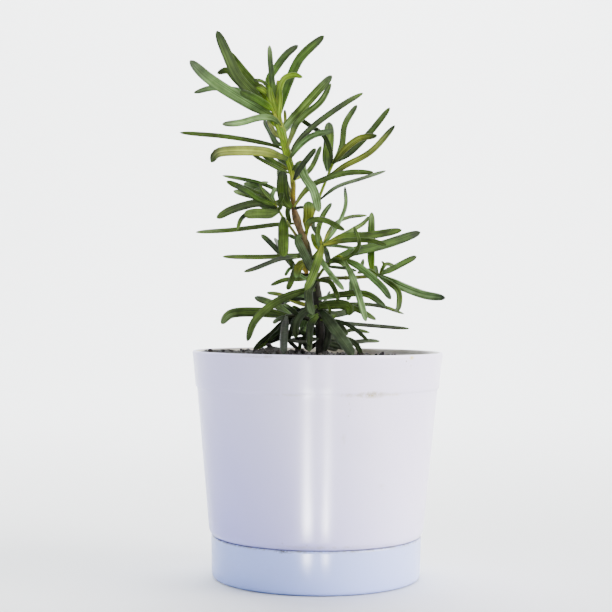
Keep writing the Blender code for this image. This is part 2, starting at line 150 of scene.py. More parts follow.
def polypropylene(name, body, shade, painted_shade, stains_and_shadows=()):
    """Moulded polypropylene: even and glossy, with a faint cloudiness, dirt where it was handled, and
    painted shade and shadow lines.
    """
    made, shader = new_material(name)
    # clouds about 36 mm across, grime of 2.4 mm and a moulded waviness of 22 mm
    place = node(made, "TexCoord").outputs["Object"]
    clouds = node(made, "TexNoise", {"Vector": place, "Scale": 28.0, "Detail": 3.0}).outputs["Fac"]
    colour = node(made, "ValToRGB", {0: clouds}, stops=((0.35, shade), (0.65, body))).outputs[0]
    # painted shade: the colour is mixed towards a darker lavender to the left and downwards
    painted_shade_share = node(made, "VectorMath", {0: place, 1: PAINTED_SHADE_LEAN}, operation="DOT_PRODUCT").outputs["Value"]
    painted_shade_share = node(made, "MapRange", {"Value": painted_shade_share, "From Min": PAINTED_SHADE_START, "From Max": PAINTED_SHADE_END}).outputs[0]
    colour = node(made, "Mix", {0: painted_shade_share, 6: colour, 7: linear(painted_shade)}, data_type="RGBA").outputs[2]
    grime = node(
        made, "TexNoise", {"Vector": place, "Scale": 420.0, "Detail": 4.0, "Roughness": 0.7}
    ).outputs["Fac"]
    broken = node(made, "MapRange", {"Value": grime, "From Min": 0.36, "From Max": 0.6}).outputs[0]
    # each patch of dirt, or painted shadow line, is mixed into the colour
    for spot, reach, strength, tint in stains_and_shadows:
        away = node(made, "VectorMath", {0: place, 1: Vector(spot) * MM}, operation="SUBTRACT").outputs[0]
        away = node(made, "VectorMath", {0: away, 1: Vector(reach) * MM}, operation="DIVIDE").outputs[0]
        away = node(made, "VectorMath", {0: away}, operation="LENGTH").outputs["Value"]
        patch = node(made, "MapRange", {"Value": away, "From Min": 1.0, "From Max": 0.3}).outputs[0]
        patch = node(made, "Math", {0: patch, 1: broken}, operation="MULTIPLY").outputs[0]
        patch = node(made, "Math", {0: patch, 1: strength}, operation="MULTIPLY").outputs[0]
        colour = node(made, "Mix", {0: patch, 6: colour, 7: linear(tint)}, data_type="RGBA").outputs[2]
    link(made, colour, shader.inputs["Base Color"])
    shader.inputs["IOR"].default_value = 1.49
    rough = node(made, "MapRange", {"Value": grime, "To Min": 0.19, "To Max": 0.27}).outputs[0]
    link(made, rough, shader.inputs["Roughness"])
    wave = node(made, "TexNoise", {"Vector": place, "Scale": 45.0, "Detail": 1.0}).outputs["Fac"]
    bump = node(made, "Bump", {"Height": wave, "Strength": 0.2, "Distance": 0.0005}).outputs[0]
    link(made, bump, shader.inputs["Normal"])
    shader.inputs["Subsurface Weight"].default_value = 0.15
    shader.inputs["Subsurface Radius"].default_value = (0.004, 0.004, 0.005)
    shader.inputs["Subsurface Scale"].default_value = 1.0
    return made


POT_STAINS_AND_SHADOW = (
    # middle and reach in mm, strength and colour; all dirt but the grey line under the band on the left, a
    # painted shadow
    ((12.0, -46.7, 75.3), (6.0, 3.0, 1.0), 0.5, "a39a6e"),
    ((20.0, -43.8, 75.4), (9.0, 5.0, 1.6), 0.9, "9c9264"),
    ((28.0, -39.2, 75.3), (5.0, 5.0, 0.9), 0.5, "b3a97e"),
    # painted shadow: a thin grey line under the band's step on the left
    ((-12.0, -46.8, 75.2), (14.0, 5.0, 0.7), 0.35, "a7a59a"),
    ((35.2, -35.5, 88.9), (1.6, 1.6, 1.0), 0.9, "cdbb6a"),
    ((33.0, -37.3, 87.6), (0.45, 0.45, 0.45), 1.0, "6b6044"),
    ((35.0, -35.4, 85.8), (0.45, 0.45, 0.6), 1.0, "6b6044"),
    ((-20.0, -45.6, 89.3), (17.0, 9.0, 0.8), 0.5, "8d8a80"),
    ((-3.7, -49.8, 88.9), (0.8, 0.8, 1.0), 0.9, "8a8578"),
    ((11.4, -46.4, 72.2), (0.45, 0.45, 0.6), 0.9, "8f8a80"),
    ((11.8, -46.1, 69.8), (0.45, 0.45, 0.8), 0.9, "8f8a80"),
    ((11.3, -46.2, 67.6), (0.5, 0.5, 0.5), 0.9, "8f8a80"),
    ((9.5, -45.6, 58.8), (1.4, 1.4, 2.6), 0.35, "a6a3a4"),
    ((24.2, -37.5, 40.5), (2.2, 2.2, 1.6), 0.3, "a6a3a4"),
    ((-13.0, -41.3, 19.6), (0.7, 0.7, 0.6), 0.9, "5c584e"),
    ((-3.7, -42.9, 19.2), (0.6, 0.6, 0.6), 0.9, "5c584e"),
    ((4.0, -42.7, 18.4), (30.0, 8.0, 0.9), 0.45, "9a9588"),
)
# soil has dulled the inner wall above this height, and the rim above the next height, inside its radius
SOILED_FROM, SOILED_TOP, SOILED_RIM = 60.0, 89.5, 48.9

pot = turn_up("pot_shell", POT_PROFILE)
# the third colour of each plastic is its painted shade to the left and downwards
pot.data.materials.append(polypropylene("moulded_polypropylene", "e4ddfa", "dfd7f7", "8c8fdc", POT_STAINS_AND_SHADOW))
pot.data.materials.append(polypropylene("moulded_polypropylene_soiled", "a9a59a", "7d786b", "9a968b"))
for face in pot.data.polygons:
    x, y, z = face.center / MM
    inwards = face.normal.x * x + face.normal.y * y < -0.2 * math.hypot(x, y)
    if (inwards and z > SOILED_FROM) or (z > SOILED_TOP and math.hypot(x, y) < SOILED_RIM):
        face.material_index = 1
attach(pot, "root")
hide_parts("pot")

# ---------------------------------------------------------------------------------------------
# Base cup. The same plastic, a little bluer, pushed onto the pot's foot: a plain cup with a
# flat underside and a rounded bottom edge.
# ---------------------------------------------------------------------------------------------
CUP_PROFILE = (
    (39.8, 0.0), (40.5, 0.12), (41.05, 0.45), (41.4, 0.95), (41.58, 1.8), (41.7, 5.5), (41.97, 15.8),
    (41.95, 16.4), (41.75, 16.72), (41.4, 16.8), (40.6, 16.8), (40.42, 16.6), (40.35, 16.2), (40.0, 2.0),
)
CUP_STAINS = (
    # the dirt caught in the joint under the pot
    ((0.0, 0.0, 16.9), (200.0, 200.0, 1.0), 0.9, "7c7a72"),
    ((-13.0, -41.3, 16.4), (5.0, 5.0, 1.0), 1.0, "4c4940"),
)
cup = turn_up("drip_cup", CUP_PROFILE)
# the third colour is the cup's painted shade to the left and downwards
cup_plastic = polypropylene("moulded_polypropylene_blue_white", "b4c0f4", "aebbf1", "8fa4ec", CUP_STAINS)
cup.data.materials.append(cup_plastic)
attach(cup, "root")
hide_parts("base_cup")

# ---------------------------------------------------------------------------------------------
# Potting soil. Dark peat, pressed down round the stem, with a crumbly surface that stands up to
# the rim on the left and lies lower on the right.
# ---------------------------------------------------------------------------------------------
SOIL_LEVEL, SOIL_SLOPE, SOIL_MOUND = 87.7, 0.03, 2.6
MOUND_X, MOUND_Y, MOUND_SPREAD = -17.0, 2.0, 8.0
SOIL_RADIUS, SOIL_FOOT_RADIUS, SOIL_FOOT = 47.4, 37.6, 4.4
SOIL_RINGS = 44


def soil_height(x, y):
    """A low mound with soft lumps, falling to the right-hand wall."""
    away = ((x - MOUND_X) ** 2 + (y - MOUND_Y) ** 2) / MOUND_SPREAD**2
    lumps = 0.5 * math.sin(0.31 * x + 1.0) * math.cos(0.27 * y) + 0.3 * math.sin(0.55 * y - 0.4 * x)
    return SOIL_LEVEL + SOIL_MOUND * math.exp(-away) + lumps - SOIL_SLOPE * x


def crumble(x, y):
    """Crumbs and cracks of 1 to 4 mm on the soil's surface."""
    spot = Vector((x, y, 0))
    clods = noise.noise(spot * 0.32) * 0.9 + noise.noise(spot * 0.9 + Vector((7, 3, 1))) * 0.55
    return clods + noise.noise(spot * 2.3 + Vector((1, 9, 4))) * 0.22


def build_soil():
    """Extrude a disc up to the surface and inwards in rings, and raise the rings into crumbs."""
    start_fresh()
    bpy.ops.mesh.primitive_circle_add(
        vertices=ROUND_STEPS,
        radius=SOIL_FOOT_RADIUS * MM,
        fill_type="NGON",
        location=(0, 0, SOIL_FOOT * MM),
    )
    piece = bpy.context.object
    piece.name = "potting_soil"
    for edge in piece.data.edges:
        edge.select = True
    bpy.ops.object.mode_set(mode="EDIT")
    bpy.ops.mesh.select_mode(type="EDGE")
    bpy.ops.mesh.extrude_edges_move(TRANSFORM_OT_translate={"value": (0, 0, (SOIL_LEVEL - SOIL_FOOT) * MM)})
    grow = SOIL_RADIUS / SOIL_FOOT_RADIUS
    bpy.ops.transform.resize(value=(grow, grow, 1), center_override=(0, 0, 0))
    radius = SOIL_RADIUS
    for ring in range(SOIL_RINGS):
        smaller = SOIL_RADIUS * (1 - (ring + 1) / (SOIL_RINGS + 0.5))
        bpy.ops.mesh.extrude_edges_move(TRANSFORM_OT_translate={"value": (0, 0, 0)})
        bpy.ops.transform.resize(value=(smaller / radius, smaller / radius, 1), center_override=(0, 0, 0))
        radius = smaller
    bpy.ops.mesh.edge_face_add()
    bpy.ops.mesh.select_all(action="SELECT")
    bpy.ops.mesh.normals_make_consistent(inside=False)
    bpy.ops.object.mode_set(mode="OBJECT")
    bpy.ops.object.transform_apply(location=True, rotation=True, scale=True)
    for corner in piece.data.vertices:
        x, y, z = corner.co / MM
        if z > SOIL_FOOT + 1:
            corner.co.z = (soil_height(x, y) + crumble(x, y)) * MM
    bpy.ops.object.shade_smooth_by_angle(angle=math.radians(60))
    return piece


def peat():
    """Moist black peat: near-black crumbs of 1 to 6 mm with brown fibres, quite matte."""
    made, shader = new_material("moist_peat_soil")
    place = node(made, "TexCoord").outputs["Object"]
    grain = node(
        made, "TexNoise", {"Vector": place, "Scale": 900.0, "Detail": 5.0, "Roughness": 0.7}
    ).outputs["Fac"]
    clods = node(made, "TexNoise", {"Vector": place, "Scale": 160.0, "Detail": 3.0}).outputs["Fac"]
    both = node(made, "Math", {0: grain, 1: clods}, operation="MULTIPLY").outputs[0]
    stops = ((0.12, "050403"), (0.28, "0d0a08"), (0.4, "1e1812"), (0.53, "453729"))
    link(made, node(made, "ValToRGB", {0: both}, stops=stops).outputs[0], shader.inputs["Base Color"])
    shader.inputs["Roughness"].default_value = 0.92
    bump = node(made, "Bump", {"Height": grain, "Strength": 0.8, "Distance": 0.0006}).outputs[0]
    link(made, bump, shader.inputs["Normal"])
    return made


soil = build_soil()
soil_finish = peat()
soil.data.materials.append(soil_finish)
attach(soil, "root")
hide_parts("soil")


def scatter_crumbs(name, count, smallest, largest, finish, seed, side=0):
    """Loose crumbs on the soil, joined into one piece. side -1 or 1 keeps them left or right."""
    dice = random.Random(seed)
    crumbs = []
    for _ in range(count):
        reach = SOIL_RADIUS * math.sqrt(dice.random()) - largest
        turn = dice.uniform(0, math.tau)
        x, y = reach * math.cos(turn), reach * math.sin(turn)
        if side * x < 0:
            x = -x
        size = dice.uniform(smallest, largest) * 0.5
        z = soil_height(x, y) + crumble(x, y) + 0.3 * size
        start_fresh()
        spot = (x * MM, y * MM, z * MM)
        bpy.ops.mesh.primitive_ico_sphere_add(subdivisions=1, radius=size * MM, location=spot)
        crumb = bpy.context.object
        crumb.scale = (dice.uniform(0.7, 1.3), dice.uniform(0.7, 1.3), dice.uniform(0.5, 0.9))
        crumb.rotation_euler = [dice.uniform(0, math.tau) for _ in range(3)]
        for corner in crumb.data.vertices:
            corner.co *= dice.uniform(0.75, 1.2)
        crumbs.append(crumb)
    start_fresh()
    for crumb in crumbs:
        crumb.select_set(True)
    bpy.context.view_layer.objects.active = crumbs[0]
    bpy.ops.object.join()
    piece = bpy.context.object
    piece.name = name
    bpy.ops.object.transform_apply(location=True, rotation=True, scale=True)
    piece.data.materials.append(finish)
    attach(piece, "root")


scatter_crumbs("soil_crumbs_small", 260, 0.5, 1.4, soil_finish, 3)
scatter_crumbs("soil_crumbs_large", 90, 1.4, 3.0, soil_finish, 5)
scatter_crumbs("soil_crumbs_right", 80, 1.0, 2.4, soil_finish, 7, side=1)

# ---------------------------------------------------------------------------------------------
# Stems. The main stem is woody, dark at the soil with painted shade, and green at its tip, and side
# shoots leave it at its leaf nodes. Routes are drawn on the plane Y = 0 as the eye sees them, and each
# point is then moved along its line of sight to its depth. All sizes are in mm.
# ---------------------------------------------------------------------------------------------
STEMS = {
    # x, z, depth and diameter, from foot to tip
    "main_stem": (
        (1.4, 80, 0, 4.6), (1.4, 88, 0, 4.5), (1.2, 96, 0.5, 4.1), (0.2, 106, 1, 3.3),
        (-1.1, 119, 1, 3.1), (-4.5, 131, 0.5, 2.8), (-8.2, 140.8, 0, 2.9), (-10.2, 148.5, 0, 2.3),
        (-10.3, 156, -0.5, 1.9), (-11.7, 165, -1, 2.3), (-13.7, 172.8, -1, 2.9),
        (-15.8, 181.5, -1.5, 2.3), (-18.3, 193.5, -2, 1.4),
    ),
    "left_upper_shoot": (
        (-8.7, 135.9, -0.5, 1.4), (-12.4, 141.1, -2, 1.1), (-14.7, 144, -3.5, 1.1), (-17.8, 149, -5, 1),
    ),
    "right_upper_shoot": (
        (-5.2, 134, 1, 1.7), (-4.8, 138, 2, 1.5), (-1.2, 148, 3, 1.3), (1.8, 156, 4, 1.3),
        (6, 166.5, 5, 1),
    ),
    "right_centre_shoot": (
        (-3, 126.5, -0.5, 1.5), (0, 130, -4, 1.4), (2.3, 133, -7, 1.2),
    ),
    "right_mid_shoot": (
        (0, 120, 0, 1.4), (3, 124, -1.5, 1.2), (7.5, 127.9, -3, 1.1), (10, 127.4, -4, 1),
    ),
    "right_lower_branch": (
        (0, 118, 1.5, 1.8), (3, 119.2, 2, 1.6), (13, 119.5, 3, 1.6), (22, 120.3, 4, 1.4),
        (24.8, 121, 4, 1.2),
    ),
    "left_mid_shoot": (
        (-1.5, 120.5, 1, 1.5), (-6, 120.7, 2, 1.3), (-9.5, 122.8, 2.5, 1.3), (-14, 127.5, 3, 1.1),
    ),
    "left_lower_branch": (
        (0.2, 100.5, 0, 1.9), (-4, 102.8, -1, 1.6), (-8.5, 104, -2, 1.5), (-13, 103.8, -3, 1.3),
    ),
}
LEAVES = {
    # width as it looks, depth of the tip, skin, and (x, z) from foot to tip
    "main_stem": (
        (4, -19, "moss_dark_tip", (-19.5, 187), (-25, 191.5), (-33.1, 200), (-37.9, 210), (-41.5, 218)),
        (2.8, -1, "moss_dark_tip", (-19.8, 189.6), (-28, 193.5), (-34, 199), (-37, 202.2), (-41.2, 201)),
        (4.3, -22, "sage", (-18, 183.5), (-25, 187.2), (-35, 192.8), (-45, 199.3), (-52.2, 206)),
        (2.3, 22, "sage", (-18.3, 189), (-28, 193.2), (-35, 194.5), (-42.6, 195.2), (-50.5, 193.1)),
        (2.5, -20, "sage", (-15.5, 180), (-18.6, 183), (-24, 183.4), (-31.8, 181.3), (-39, 180.6)),
        (1.5, 4, "moss", (-14.2, 170.3), (-20.5, 172.8), (-36.9, 175.6), (-56, 177.1)),
        (3.8, -24, "straw", (-12.5, 166.8), (-21.3, 169.6), (-31.6, 170.1), (-40.5, 169.2),
         (-43.3, 165.3)),
        (1.9, -16, "forest_pale_tip", (-17.8, 191), (-18.6, 195), (-19.7, 203), (-20.4, 212.4)),
        (2.9, 16, "bottle_lime_foot", (-18.5, 192), (-20.6, 197.8), (-17.7, 203.3), (-13.4, 209),
         (-8.9, 212.5)),
        (3.6, 12, "forest", (-16.3, 184), (-14.5, 192.2), (-12.3, 198.4), (-7.7, 207.8), (1.4, 216.4)),
        (3.4, 1, "pale_foot", (-15.2, 178), (-12.4, 181.4), (-8, 186.2), (-1.7, 193.4), (4.75, 200.5)),
        (2.4, -20, "leaf", (-13, 170.8), (-11.3, 176), (-9, 181.5), (-5, 185.4), (0.5, 190.2),
         (4.4, 197.3)),
        (2.3, 18, "bottle", (-12, 167), (-9.5, 172.7), (-2.1, 180.5), (9.6, 189.1), (17.3, 193.6)),
        (4.4, -15, "moss_dark_tip", (-11, 147.3), (-13.6, 150.2), (-14.7, 155), (-14.6, 162)),
        (3.4, -18, "pale_sage", (-10.6, 162), (-8, 164.5), (-5.4, 159.2), (-2.1, 154.3), (0.1, 145.8)),
        (2.2, -16, "leaf", (-10, 147.5), (-6.5, 153), (-1.5, 157.3), (10.3, 161.4), (21.7, 161.9)),
        (1.1, 15, "forest_pale_tip", (-10.3, 150.5), (-17.3, 154.6), (-25.7, 157.7), (-38.7, 160)),
        (1.6, 9, "moss_pale_tip", (-8.5, 141), (-16.1, 140.7), (-34.3, 138.3), (-49.2, 137.2)),
        (1.5, -12, "moss", (-4.2, 129), (-12.8, 128.1), (-23.7, 127.5), (-38.4, 127.5)),
        (3, -14, "moss_dark_tip", (-1, 114.5), (-5.9, 114.1), (-16.7, 109.6), (-25.2, 102),
         (-28.2, 93.7)),
        (2.5, -18, "pale_foot", (0.2, 110.8), (9.8, 112.8), (19.5, 113), (27.2, 107.9)),
        (1.2, 20, "shaded", (1, 104.5), (8.1, 101.7), (25.3, 100.1), (36.7, 99.3)),
        (4.2, -36, "dusky", (1, 106.3), (4.6, 101.9), (9.5, 95.2), (14.3, 88.6)),
        (2.6, 34, "sage", (-14.6, 177), (-11, 182.5), (-6, 188)),
        (2.8, 30, "bottle", (-10.4, 160), (-12.5, 166), (-14.5, 173)),
        (3, 30, "pale_sage_dark_tip", (-0.4, 112), (-8, 112.2), (-17, 108.8)),
        (2.8, 6, "leaf", (-19.5, 192), (-24, 195), (-30.7, 202.2), (-37, 210)),
        (2.3, -8, "sage", (-11.8, 167), (-7.9, 172.4), (-2.3, 176.5), (5.8, 178.6)),
        (3.1, -16, "slate", (-1.2, 118), (-3.7, 113.9), (-3.5, 109), (-2, 104.5)),
        (3, -22, "bottle_lime_foot", (-18.6, 186.4), (-25, 190.5), (-32, 193.8)),
        (2, -10, "lime", (-17, 186), (-16.2, 194.5), (-14.4, 199.2), (-10.5, 200.6), (-7, 199.7)),
        (1, -10, "moss_dark_tip", (-18.5, 192.5), (-22.6, 197.6), (-26.8, 198.6)),
        (1.5, -8, "lime", (-18, 190.2), (-22.5, 194), (-25.5, 195.4)),
        (1.2, -6, "young_lime", (-18.1, 192), (-17, 195), (-16.8, 198.5)),
        (1.2, 5, "young_lime", (-17.6, 191.2), (-20.2, 195.8), (-21.4, 199.2)),
        (1.6, -7, "lime", (-17.5, 187.5), (-19.8, 191), (-20.4, 195.5)),
        (0.9, 6, "straw", (-15.2, 179), (-13.8, 181.5), (-14, 186.6)),
        (2.3, 20, "forest", (-14.4, 172.3), (-17.6, 173.6), (-20, 178.3), (-22.4, 182.2)),
        (1.8, 8, "leaf", (-12, 162.5), (-17.2, 165.2), (-23.1, 168.6)),
        (1, -6, "moss_dark_tip", (-11.4, 161), (-17.2, 163.4), (-26.9, 168.5)),
        (4, 24, "moss_straw_foot", (-10.4, 151), (-13, 154), (-14.9, 160), (-15.1, 167.3)),
        (2, -26, "bottle", (-10, 158.5), (-7.9, 162.9), (-1.5, 171.2)),
        (1.5, 8, "straw", (-10, 160.5), (-6.3, 162.3), (-6.8, 165.4), (-9.7, 164.7)),
        (1.8, 18, "leaf", (-9.8, 158.5), (-3.5, 163), (0.7, 172.2)),
        (0.8, -6, "shaded", (-10, 147), (-7.5, 147.5), (-5.8, 147.6)),
        (1.8, 12, "moss_straw_foot", (-10.5, 149.5), (-12.5, 146), (-11.5, 141)),
        (3.4, -8, "slate", (-6.7, 136.6), (-8.4, 134.9), (-6.6, 130.5), (-4, 125.5), (-2.7, 121.8)),
        (1.6, -22, "shaded", (-3.8, 128), (-14.6, 127), (-24.9, 123.1), (-29.8, 121.5)),
        (1.5, 16, "leaf", (-1.5, 119.3), (-7.5, 118.8), (-13.5, 118.4), (-19, 116.2)),
        (1, 16, "bottle", (0, 107.5), (14, 109), (25.2, 108.2), (34.5, 105.2)),
        (3.7, -12, "moss_dark_tip", (0.4, 107.8), (5, 108.6), (9.6, 108.7), (12.4, 107.6), (12.6, 104.4)),
        (2, -8, "moss_pale_tip", (0, 107), (9, 108.5), (16.5, 106.5), (23.3, 102.8)),
        (1.7, -16, "moss_dark_tip", (-0.6, 118.4), (4.5, 117.8), (7.2, 113.5), (8.2, 110)),
        (0.8, 8, "slate", (0, 108.6), (2.4, 109.6), (4.8, 114.1)),
        (1.3, -4, "shaded", (1, 102.5), (8.5, 101.9), (14.2, 99.4), (20.2, 94.4)),
        (1, 16, "bottle_pale_tip", (1, 96), (10.7, 97.9), (15.1, 98.6), (20.8, 97.6)),
        (1.5, 22, "coal", (1, 93.5), (13, 93.6), (20, 94.3), (24.9, 94.1)),
        (1.5, 14, "near_black", (1, 92), (2.5, 91.2), (9.5, 93)),
        (2.1, 24, "bottle_pale_tip", (0.5, 98), (-9, 97.2), (-19.3, 93.7), (-25, 90.6)),
        (1.4, 6, "near_black", (0.5, 94), (-3.5, 91), (-6, 93.5)),
        (0.8, -8, "near_black", (0.5, 95), (-5, 93.6), (-12, 94.2)),
        (1, 10, "shaded", (-0.5, 110.2), (-6, 110.7), (-11.5, 110.8)),
        (2.7, -18, "shaded", (0, 104), (-3, 100.3), (-3.2, 92)),
        (3, -8, "shaded", (-0.2, 108), (-5.5, 105.5), (-8.7, 101), (-8.8, 95.2)),
        (3, 4, "pale_sage_dark_tip", (-0.2, 106), (-5, 102), (-6, 96)),
        (1.5, -6, "lime", (-15.2, 179.6), (-16.2, 184), (-15.9, 190), (-16, 196.3)),
        (1.5, -6, "lime", (-16.3, 183.6), (-17.8, 188), (-19.6, 193.5), (-20.9, 197.5)),
        (1.3, -5, "lime", (-16.8, 186), (-19.6, 189), (-21.8, 192.3)),
        (1.6, -4, "young_lime", (-14, 173), (-15.6, 176.5), (-17.2, 181), (-18.2, 185)),
        (1.2, 2, "orange_foot", (-16.6, 184.5), (-18.3, 186.5), (-20.4, 186.7)),
        (1.7, 14, "straw", (-14.6, 174.6), (-17.8, 177.2), (-19.5, 180.2), (-20.9, 183.2)),
        (1.1, 2, "lime", (-15, 178.8), (-17.6, 180.4), (-19.9, 182.5)),
        (1.5, 8, "lime", (-17.3, 188.5), (-20.5, 190.5), (-24, 194.8)),
        (1.4, 6, "lime", (-17.6, 189.5), (-20.4, 193), (-24.4, 197)),
        (2.4, 10, "forest", (-11.6, 165), (-14.4, 166.4), (-17.2, 168.4)),
        (1.3, 8, "forest_pale_tip", (-6.6, 135.4), (-9.5, 135.4), (-12, 136.5)),
        (2.2, 16, "coal", (1.2, 95.2), (9.8, 95.2), (15, 93.2), (17.9, 88.4)),
        (2, 9, "bottle_pale_tip", (0, 103.8), (-3.6, 104.2), (-7, 105.8), (-10.4, 107.8)),
        (1.3, 14, "shaded", (0.8, 96.6), (-4, 97), (-10.8, 97.7)),
        (1.3, 3, "shaded", (0.6, 97.6), (-6, 95), (-7.4, 90.3)),
        (2.2, -3, "pale_sage_dark_tip", (0, 105), (-2.2, 102.6), (-3.6, 99.2), (-6.8, 98.4)),
        (1, -6, "moss_dark_tip", (0.4, 109), (3, 109.4), (4.6, 107.2), (4.8, 104.6)),
        (1.1, 6, "pale_foot", (0.6, 104.6), (4, 103.6), (6.5, 103.8), (8, 106)),
        (2.6, 10, "slate", (0.6, 106.6), (6, 104.8), (11, 105.6), (16.8, 108)),
        (1.2, 10, "near_black", (1.4, 99), (4, 96.5), (6.6, 95.4)),
        (1.6, 12, "near_black", (0.8, 93.2), (4.5, 91.4), (8, 90.6)),
        (2, 12, "near_black", (0.2, 99), (-5, 99.5), (-9.5, 103), (-14.5, 108.6)),
        (1.8, 18, "near_black", (0.4, 97), (-8, 97.6), (-14.5, 96.4), (-20, 93)),
        (1.4, 22, "orange_foot", (-0.2, 107.5), (-8, 109.3), (-15, 112.4), (-20.6, 113.2)),
        (2.4, 14, "bottle_pale_tip", (-1, 116), (-1.6, 112), (0.2, 107.6)),
        (1, -3, "sage", (-1, 118.4), (-5, 119), (-8.2, 121.4), (-10.2, 125)),
        (2.6, -3, "near_black", (1.2, 104), (3.6, 101.5), (4.3, 97.5), (3.6, 93), (2.6, 89.9)),
        (2.6, -4, "coal", (-0.2, 101.5), (-2.4, 100.4), (-3.2, 96.5), (-3.4, 92.5), (-3.3, 89.8)),
        (1.7, 6, "near_black", (-0.4, 95), (-4, 94.8), (-8, 94.6), (-11.8, 93.8)),
        (2.4, 5, "coal", (2.2, 92.6), (5, 92.9), (9, 92), (12.2, 91.2)),
        (3.2, 8, "near_black", (-0.2, 105.6), (-5, 106), (-9.5, 104), (-12, 100.5)),
        (2.3, 9, "coal", (1.6, 100), (5, 101.5), (9, 100), (12, 96.5)),
        (2.8, -3, "lime", (-10.3, 157.5), (-11.2, 163), (-13, 169), (-14.8, 175.5), (-15.6, 179.5)),
        (2.3, -5, "lime", (-16.2, 182.5), (-18.4, 186.6), (-21.2, 191), (-24.2, 195.2)),
    ),
    "left_upper_shoot": (
        (3.1, -16, "bottle", (-17, 147.3), (-24, 149.2), (-34.3, 146.6), (-40.9, 143)),
        (3.8, -24, "moss", (-16, 146), (-20, 144.9), (-25, 144.9), (-29.9, 144.5)),
        (4.2, -20, "moss", (-14.3, 143.5), (-14.1, 137.2), (-14, 127.7)),
        (2.4, 1, "moss_straw_foot", (-17.5, 148.6), (-24.5, 152.4), (-30.5, 155), (-37.1, 157.7)),
        (2.2, -10, "moss_pale_tip", (-17, 147.8), (-22.7, 150.8), (-27.9, 152.2), (-34.3, 153.9)),
        (2.5, 14, "forest_pale_tip", (-17.5, 148.8), (-20.8, 152.4), (-25, 155.5), (-30.2, 156.9)),
        (0.9, -14, "moss_pale_tip", (-17.7, 149), (-22.3, 153.6), (-23.4, 156.8), (-20.3, 157.5)),
        (1.4, -14, "moss_straw_foot", (-17.2, 148), (-15.4, 150.5), (-14.6, 153.5)),
        (1.4, -3, "pale_sage", (-17.6, 149.2), (-18.8, 152), (-17.4, 155.5)),
        (1.4, -26, "bottle", (-16.2, 146.4), (-27, 145.2), (-31, 142.8), (-32.6, 138.4)),
        (2, -14, "bottle_lime_foot", (-17.2, 148.4), (-24, 150.6), (-29, 153.8), (-33.6, 156)),
        (2.2, 8, "forest_pale_tip", (-17.4, 148.6), (-22.5, 153.6), (-26.6, 154)),
        (2, 6, "bottle_lime_foot", (-16.8, 147.4), (-20.4, 147.2), (-24.5, 149)),
        (1.3, -8, "moss_pale_tip", (-16, 146.2), (-15.4, 148), (-16.9, 149.7)),
        (1.3, -6, "leaf", (-17.8, 149.2), (-16.2, 149.6), (-14.4, 147.8)),
    ),
    "right_upper_shoot": (
        (1.6, 15, "bottle_pale_tip", (5, 164.5), (4.7, 169.7), (1.5, 176.6), (-4.4, 180.7),
         (-11.5, 185.5)),
        (4.2, 18, "pale_foot", (3.6, 162), (3.3, 168), (3.8, 175), (3.75, 181.8)),
        (2.4, 24, "moss_dark_tip", (5.8, 166), (9, 172.2), (10.2, 181), (14.9, 188.8)),
        (2.4, 14, "bottle", (5.9, 165.6), (12.1, 169.4), (20.3, 177.9), (28.1, 187.8)),
        (2.5, -14, "straw", (5.6, 165.2), (10.1, 170.9), (15.9, 175.3), (23.1, 176.6)),
        (2.3, -14, "straw", (2.9, 159.4), (10.4, 164.4), (20.7, 170.2), (30.2, 180.75)),
        (4.2, -12, "orange_foot", (-4.8, 139), (-4.2, 143.6), (-4.1, 150)),
        (2, -24, "leaf", (-4.9, 136), (-3.9, 141.8), (2.6, 142.4), (10.4, 138.5)),
        (1.1, 22, "slate", (-0.2, 150.2), (7.2, 155.9), (16.7, 159.2), (26.7, 162.5)),
    ),
    "right_centre_shoot": (
        (3, -8, "leaf", (1.8, 132.2), (10.4, 135.9), (20.8, 136.6), (33.3, 138.8)),
        (1.7, -20, "moss_straw_foot", (2, 132.6), (10.4, 134.3), (20.8, 134.5), (27.2, 132.7)),
        (3.3, -18, "leaf", (1.5, 132.6), (-0.2, 126.1), (-2.9, 118.5), (-5.2, 114.3)),
        (1.2, 0, "pale_sage_dark_tip", (2, 132.8), (6.6, 138.8), (10.6, 147.7), (10.4, 156)),
        (1.9, 4, "pale_foot", (0.5, 130.8), (-0.4, 137.2), (1.6, 144.2), (5.1, 149.4)),
        (1, 20, "moss_straw_foot", (1.4, 132), (5.7, 140.3), (11.9, 143.7), (19.3, 144.6)),
        (1.5, 12, "leaf", (2.2, 133), (8.3, 135.8), (17.4, 141), (20, 144.1)),
        (0.9, -12, "pale_sage", (1.8, 132), (6.1, 132.3), (14.5, 131.3)),
        (1.9, -14, "pale_sage", (0, 130), (1.8, 125.4), (5.2, 120.6), (10.3, 114.6)),
        (1.6, 10, "moss_straw_foot", (1.6, 132.2), (0, 136.2), (-2.2, 140), (-2, 143)),
        (1.5, 4, "lime", (0.2, 130.3), (-1.6, 133.4), (-2.6, 137.2)),
        (2, 12, "moss_pale_tip", (1.8, 132.6), (3.4, 129), (4.2, 124)),
    ),
    "right_mid_shoot": (
        (3.7, 16, "forest", (6, 127), (14, 130), (26, 132.8), (40.8, 138)),
        (2.7, -18, "sage", (9.5, 127.4), (16.3, 124), (25.1, 116.5), (29.2, 111)),
        (2.5, -28, "pale_sage", (9.8, 127.3), (14, 119.2), (17.3, 109.3), (19.3, 102.1)),
        (1.2, -24, "leaf", (5, 126), (12, 127.8), (16.3, 132.7), (14.1, 140.2)),
        (1.2, -2, "pale_foot", (9.9, 127.4), (16.5, 123.5), (18.1, 127.1)),
        (0.8, -8, "slate", (3, 124), (11, 123.2), (15.5, 122.2)),
        (2, -10, "moss_pale_tip", (4, 125), (6, 126.4), (8.7, 126), (11, 124.2)),
    ),
    "right_lower_branch": (
        (2.9, 16, "forest_pale_tip", (21.8, 120.6), (21.1, 128.7), (21.2, 145.8)),
